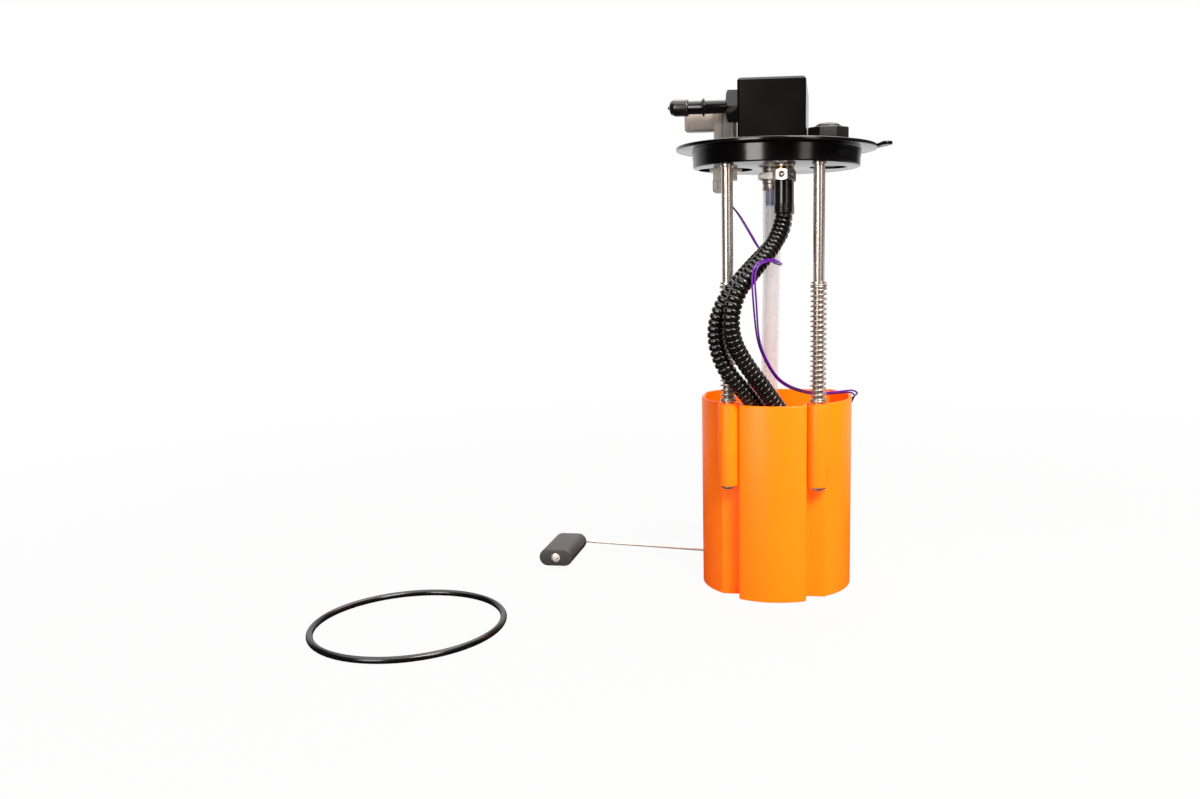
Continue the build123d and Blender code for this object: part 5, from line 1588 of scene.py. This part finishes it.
    def build(self) -> None:
        """Make the fittings and the cuffs, and dress the sleeve in the return tube."""
        self.feed_fitting("front_feed_fitting", FRONT_FEED)
        self.feed_fitting("rear_feed_fitting", REAR_FEED)
        self.return_fitting()
        self.cuffs()
        dress_nodes({"return_sleeve": Finishes.blue})


@dataclass
class FuelOutlet:
    """The quick connect on the left face of the block, with its dust cap."""

    face: Point = (-24.6, -14.0, 353.4)
    thread: float = 11.5
    thread_length: float = 8.5
    across: float = 22.2
    hex_length: float = 9.6
    hex_turn: float = 24.0
    tube: float = 9.53
    tube_length: float = 37.0
    bore: float = 7.0
    bead: float = 12.6
    bead_width: float = 2.2
    bead_place: float = 17.0
    cap_diameter: float = 12.0
    cap_length: float = 15.0
    cap_grip: float = 9.0

    def connect(self) -> None:
        """Turn the tube with its bead, and put the chamfered hexagon on it."""
        tube = self.tube / 2
        thread = self.thread / 2
        bore = self.bore / 2
        ridge = self.bead / 2
        half = self.bead_width / 2
        crown = self.bead_width * 0.22
        end = self.hex_length + self.tube_length
        bead = self.hex_length + self.bead_place
        core = Bench.turned("core", rounded([
            (bore, -self.thread_length, 0.0), (thread, -self.thread_length, 0.4), (thread, 0.0, 0.0),
            (thread, self.hex_length, 0.0), (tube + 0.55, self.hex_length, 0.2), (tube, self.hex_length + 0.9, 0.4),
            (tube, bead - half, 0.4), (ridge, bead - crown, 0.45), (ridge, bead + crown, 0.45),
            (tube, bead + half, 0.4), (tube, end, 0.8), (bore, end, 0.0),
        ]))
        nut = Bench.nut(self.across, 0.0, self.hex_length, 0.0, self.thread - 0.02)
        nut.data.transform(Matrix.Rotation(math.radians(self.hex_turn), 4, "Z"))
        piece = Bench.gather("quick_connect_piece", [nut, core], self.face, Along.LEFT)
        finish_piece(piece, Body.HANGER, Finishes.turned_black, "quick_connect")

    def cap(self) -> None:
        """Turn the soft cap, with its rounded nose and small tip."""
        inner = self.tube / 2 + 0.08
        radius = self.cap_diameter / 2
        end = self.hex_length + self.tube_length
        mouth = end - self.cap_grip
        stop = end + 0.3
        nose = mouth + self.cap_length - 0.1
        profile = rounded([
            (inner, mouth, 0.1), (radius - 0.2, mouth, 0.2), (radius, mouth + 0.6, 0.3), (radius, nose - 5.4, 2.4),
            (radius - 1.56, nose - 2.2, 1.0), (1.2, nose - 0.9, 0.5), (0.55, nose, 0.25), (0.0, nose, 0.0),
            (0.0, stop, 0.0), (inner, stop, 0.0),
        ], 5)
        cap = Bench.turned("dust_cap_piece", profile, self.face, Along.LEFT)
        finish_piece(cap, Body.DUST_CAP, Finishes.vinyl, "dust_cap", smooth=40.0)

    def build(self) -> None:
        """Make the quick connect and the cap."""
        self.connect()
        self.cap()


@dataclass
class BulkheadConnector:
    """The grey connector through the flange, and the pale plug under it."""

    width: float = 15.8
    depth: float = 15.0
    top: float = 351.0
    rib_width: float = 1.5
    rib_shifts: Flat = (-2.2, 6.1)
    arm_end: float = -67.0
    arm_height: float = 12.0
    arm_narrowing: float = 1.0
    wall: float = 1.8
    cavity: float = 16.0
    stem: float = 24.0
    stem_bottom: float = 309.8
    plug_x: float = -40.6
    plug_width: float = 12.0
    plug_depth: float = 16.0

    @staticmethod
    def rectangle(width: float, depth: float, radius: float) -> Callable[[float], list[Flat]]:
        """Give a plan of a rounded rectangle that can be moved in.

        Args:
            width: its width.
            depth: its depth.
            radius: its corner radius.

        Returns:
            The plan.
        """
        def plan(inset: float) -> list[Flat]:
            """Give the outline for an inset."""
            x, y, corner = width / 2 - inset, depth / 2 - inset, max(radius - inset * 0.5, 0.1)
            return rounded([(x, -y, corner), (x, y, corner), (-x, y, corner), (-x, -y, corner)])
        return plan

    def arm(self) -> Piece:
        """Make the hollow arm that points left, with the lip at its mouth.

        Returns:
            The arm.
        """
        height, width = self.arm_height, self.depth - self.arm_narrowing
        root = CONNECTOR[0] - self.width / 2 + 1.0
        length = root - self.arm_end
        origin = (root, CONNECTOR[1], self.top - height / 2)
        arm, lip, hollow = (
            Bench.raised(name, self.rectangle(*size), levels, origin, Along.LEFT)
            for name, size, levels in (
                ("arm", (height, width, 1.2), round_levels(0.0, length, 0.0, 0.5)),
                ("lip", (height, width + 0.9, 1.3), round_levels(length - 3.2, length - 0.5, 0.3, 0.3)),
                ("hollow", (height - 2 * self.wall, width - 2 * self.wall, 0.6),
                 [(0.0, length - self.cavity), (0.0, length + 2.0)]),
            )
        )
        Bench.combine(arm, [lip], "UNION")
        Bench.combine(arm, [hollow], "DIFFERENCE")
        return arm

    def body(self) -> Piece:
        """Make the body: the upright block with its ribs, the arm with its mouth, and the round stem.

        Returns:
            The piece.
        """
        x, y = CONNECTOR
        block = Bench.raised(
            "block", self.rectangle(self.width, self.depth, 0.8), round_levels(LAND - 0.2, self.top, 0.0, 0.7),
            CONNECTOR,
        )
        rib = self.rectangle(self.rib_width, self.depth + 1.0, 0.35)
        levels = round_levels(LAND - 0.1, self.top - 1.4, 0.0, 0.3)
        ribs = [Bench.raised("rib", rib, levels, (x + shift, y)) for shift in self.rib_shifts]
        arm = self.arm()
        radius = self.stem / 2
        stem = Bench.turned("stem", rounded([
            (0.0, self.stem_bottom, 0.0), (radius, self.stem_bottom, 0.6), (radius, LAND, 0.0), (0.0, LAND, 0.0),
        ], 3), CONNECTOR, steps=56)
        return Bench.gather("bulkhead_connector_piece", [block, *ribs, arm, stem])

    def plug(self) -> Piece:
        """Make the plug: a rounded block with a raised shoulder and a sunk latch.

        Returns:
            The piece.
        """
        x, y = self.plug_x, CONNECTOR[1]
        low, top = PLUG_BOTTOM, self.stem_bottom
        block = Bench.raised(
            "plug", self.rectangle(self.plug_width, self.plug_depth, 1.2),
            [(1.0, low), (0.3, low + 0.5), (0.0, low + 1.2), (0.0, top - 6.9), (0.35, top - 6.5), (0.35, top - 0.02)],
            (x, y),
        )
        front = y - self.plug_depth / 2 + 0.1
        cuts = [
            Bench.raised("slot", self.rectangle(wide, 1.2, 0.2), [(0.0, low + 2.6), (0.0, high)], (x + shift, front))
            for shift, wide, high in ((-2.1, 0.7, top - 7.2), (1.9, 0.7, top - 7.2), (-0.4, 2.4, low + 4.0))
        ]
        Bench.combine(block, cuts, "DIFFERENCE")
        return block

    def build(self) -> None:
        """Make the body and the plug, and dress the terminals, the lock and the clip."""
        finish_piece(self.body(), Body.HANGER, Finishes.connector_grey, "bulkhead_connector")
        finish_piece(self.plug(), Body.HANGER, Finishes.plug_white, "lower_plug")
        dress_nodes({
            "plug_lock": Finishes.plug_white, "connector_terminals": Finishes.tinned,
            "connector_circlip": Finishes.steel,
        })


@dataclass
class VentValve:
    """The vent valve on the flange, right of the block."""

    flats: float = 29.0
    base_height: float = 11.0
    cap_diameter: float = 18.0
    cap_height: float = 3.6
    stem: float = 16.0
    stem_bottom: float = 311.8

    def build(self) -> None:
        """Make the eight-sided base with its stem, and the domed cap."""
        top = LAND + self.base_height
        stem = self.stem / 2
        cap = self.cap_diameter / 2
        peak = top + self.cap_height
        pieces = [
            Bench.raised(
                "base", lambda inset: polygon(self.flats - 2 * inset, 22.5, 8),
                [(0.5, LAND), (0.0, LAND + 0.5), (0.0, top - 1.0), (0.25, top - 0.4), (0.9, top)],
            ),
            Bench.turned("stem", rounded([
                (0.0, self.stem_bottom, 0.0), (stem, self.stem_bottom, 0.5), (stem, LAND + 0.5, 0.0),
                (0.0, LAND + 0.5, 0.0),
            ], 3), steps=48),
            Bench.turned("rim", rounded([
                (cap + 0.4, top - 0.2, 0.0), (cap + 2.2, top - 0.2, 0.0), (cap + 2.0, top + 0.7, 0.3),
                (cap + 0.4, top + 0.7, 0.3),
            ], 3), steps=56),
        ]
        base = Bench.gather("vent_valve_base_piece", pieces, VALVE)
        finish_piece(base, Body.HANGER, Finishes.black_plastic, "vent_valve_base")
        dome = Bench.turned("vent_valve_cap_piece", rounded([
            (0.0, top, 0.0), (cap, top, 0.0), (cap, top + 1.6, 0.8), (cap - 2.2, top + 3.0, 2.0),
            (3.2, peak, 1.5), (2.6, peak - 0.5, 0.3), (0.0, peak - 0.6, 0.0),
        ], 5), VALVE)
        finish_piece(dome, Body.HANGER, Finishes.black_plastic, "vent_valve_cap", smooth=45.0)


@dataclass
class Flange:
    """The round flange with its skirt, pockets and lifting tab, and the block on it."""

    skirt_radius: float = 61.3
    skirt_height: float = 12.4
    relief: float = 0.7
    relief_height: float = 6.7
    plate_radius: float = 72.8
    plate_thickness: float = 2.5
    land_radius: float = 58.0
    pocket_depth: float = 7.0
    connector_pocket: float = 40.0
    connector_stem: float = 24.1
    valve_pocket: float = 27.0
    screw_seat: float = 9.3
    screw_sink: float = 3.6
    tab_root: float = 64.0
    tab_reach: float = 83.0
    tab_width: float = 11.0
    tab_turn: float = -3.0
    tab_lift: float = 1.9
    tab_step: float = 0.75

    def disc(self) -> Piece:
        """Turn the skirt, plate and land, and cut the pockets and holes.

        Returns:
            The disc.
        """
        skirt, plate, land = self.skirt_radius, self.plate_radius, self.land_radius
        skirt_top = FLANGE_BOTTOM + self.skirt_height
        plate_top = skirt_top + self.plate_thickness
        step = FLANGE_BOTTOM + self.relief_height
        lower = skirt - self.relief
        disc = Bench.turned("flange_piece", rounded([
            (0.0, FLANGE_BOTTOM, 0.0), (lower, FLANGE_BOTTOM, 1.0), (lower + 0.1, step - 2.2, 4.0),
            (skirt - 0.1, step + 2.2, 4.0), (skirt, skirt_top, 0.5), (plate, skirt_top, 0.6), (plate, plate_top, 0.8),
            (land, plate_top, 0.8), (land - 0.6, LAND, 0.4), (0.0, LAND, 0.0),
        ]), steps=144)
        under, pocket, over = FLANGE_BOTTOM - 1.0, FLANGE_BOTTOM + self.pocket_depth, LAND + 1.0
        tools = [
            Bench.cut_out("hole", polygon(width, 0.0, sides), low, high, place)
            for place, width, low, high, sides in (
                (CONNECTOR, self.connector_pocket, under, pocket, 72),
                (CONNECTOR, self.connector_stem, under, over, 56),
                (VALVE, self.valve_pocket, under, pocket, 64),
                *(((side * ROD[0], ROD[1]), self.screw_seat, LAND - self.screw_sink, over, 40) for side in (-1, 1)),
            )
        ]
        Bench.combine(disc, tools, "DIFFERENCE")
        return disc

    def tab(self) -> Piece:
        """Make the lifting tab: a rounded tongue that rises a little towards its tip.

        Returns:
            The tab.
        """
        bottom = FLANGE_BOTTOM + self.skirt_height
        half = self.tab_width / 2
        count = int((self.tab_reach - half - self.tab_root) / self.tab_step) + 1
        runs = [self.tab_root + run * self.tab_step for run in range(count)]
        tip = runs[-1]

        def plan(inset: float) -> list[Flat]:
            """Give the tongue's outline.

            Args:
                inset: how far it is moved in.

            Returns:
                The outline.
            """
            side = half - inset
            turn = [(tip + (self.tab_reach - tip - inset) * math.sin(lean), -side * math.cos(lean))
                    for lean in (math.pi * part / 16 for part in range(1, 16))]
            return [*((run, -side) for run in runs), *turn, *((run, side) for run in reversed(runs))]

        levels = round_levels(bottom + 0.02, bottom + self.plate_thickness - 0.02, 0.6, 0.6, 3)
        tab = Bench.raised("tab", plan, levels)
        for vertex in tab.data.vertices:
            share = min(max((vertex.co.x / MM - self.plate_radius + 2.0) / 7.0, 0.0), 1.0)
            vertex.co.z += self.tab_lift * MM * share * share * (3.0 - 2.0 * share)
        tab.data.transform(Matrix.Rotation(math.radians(self.tab_turn), 4, "Z"))
        return tab

    def build(self) -> None:
        """Make the flange, and dress the block, the screws and the port plug."""
        flange = Bench.gather("flange_piece", [self.disc(), self.tab()])
        finish_piece(flange, Body.HANGER, Finishes.turned_black, "flange")
        dress_nodes({
            "manifold_block": Finishes.anodised, "block_screws": Finishes.steel, "port_plug": Finishes.turned_black,
        })


# --- level sender ----------------------------------------------------------------------------------


@dataclass
class LevelFloat:
    """The float, on its wire arm."""

    centre: Point = (-176.3, 7.0, 10.4)
    width: float = 27.0
    thickness: float = 13.6
    length: float = 49.0
    edge: float = 0.9
    end_steps: int = 16
    nut_diameter: float = 7.0
    nut_bore: float = 1.25
    slit_start: float = 1.0
    slit_end: float = 2.5
    slit_half: float = 0.2
    slit_turn: float = 25.0

    def outline(self, inset: float) -> list[Flat]:
        """Give the section of the float, with its two round ends.

        Args:
            inset: how far it is moved in.

        Returns:
            The outline.
        """
        radius = self.thickness / 2 - inset
        straight = self.width / 2 - self.thickness / 2
        ends = [(side, math.pi * (part / self.end_steps - side / 2))
                for side in (1, -1) for part in range(self.end_steps + 1)]
        return [(side * straight + radius * math.cos(angle), radius * math.sin(angle)) for side, angle in ends]

    def push_nut(self) -> None:
        """Build the sprung disc that holds the float, with four slits and the end of the arm in its middle."""
        radius, bore = self.nut_diameter / 2, self.nut_bore
        nut = Bench.turned("float_push_nut_piece", rounded([
            (0.0, 0.0, 0.0), (radius, 0.0, 0.12), (radius, 0.35, 0.15), (radius * 0.45, 0.95, 0.2),
            (bore + 0.05, 0.55, 0.05), (bore - 0.05, 0.55, 0.05), (bore - 0.05, 0.9, 0.2), (0.0, 0.9, 0.0),
        ], 3), steps=48)
        start, end, half = self.slit_start, self.slit_end, self.slit_half
        slits = []
        for quarter in range(4):
            turn = math.radians(self.slit_turn + 90.0 * quarter)
            slits.append(Bench.cut_out("slit", [
                (reach * math.cos(turn) - side * math.sin(turn), reach * math.sin(turn) + side * math.cos(turn))
                for reach, side in ((start, -half), (end, -half), (end, half), (start, half))
            ], 0.15, 2.0))
        Bench.combine(nut, slits, "DIFFERENCE")
        Bench.aim(nut, self.centre, Along.FRONT)
        finish_piece(nut, Body.FLOAT_ARM, Finishes.push_nut, "float_push_nut")

    def build(self) -> None:
        """Build the float and its push nut, and dress the arm and its hub."""
        body = Bench.raised(
            "level_float_piece", self.outline, round_levels(0.0, self.length, self.edge, self.edge),
            self.centre, Along.BACK,
        )
        finish_piece(body, Body.FLOAT_ARM, Finishes.foam, "level_float")
        self.push_nut()
        dress_nodes({"float_arm": Finishes.arm_wire, "arm_hub": Finishes.black_plastic})


@dataclass
class TankSeal:
    """The seal ring that lies beside the module."""

    finish: Finish = Finishes.seal

    def build(self) -> None:
        """Dress the ring."""
        dress_nodes({"tank_seal": self.finish})


def main() -> None:
    """Build the module, sub-assembly by sub-assembly."""
    logging.basicConfig(level=logging.INFO, format="%(message)s")
    for assembly in (
        Studio, Lines, Reservoir, GuideSprings, GuideRods, Flange, FuelOutlet, VentValve, BulkheadConnector, Fittings,
        LevelFloat, TankSeal,
    ):
        assembly().build()


if __name__ == "__main__":
    main()
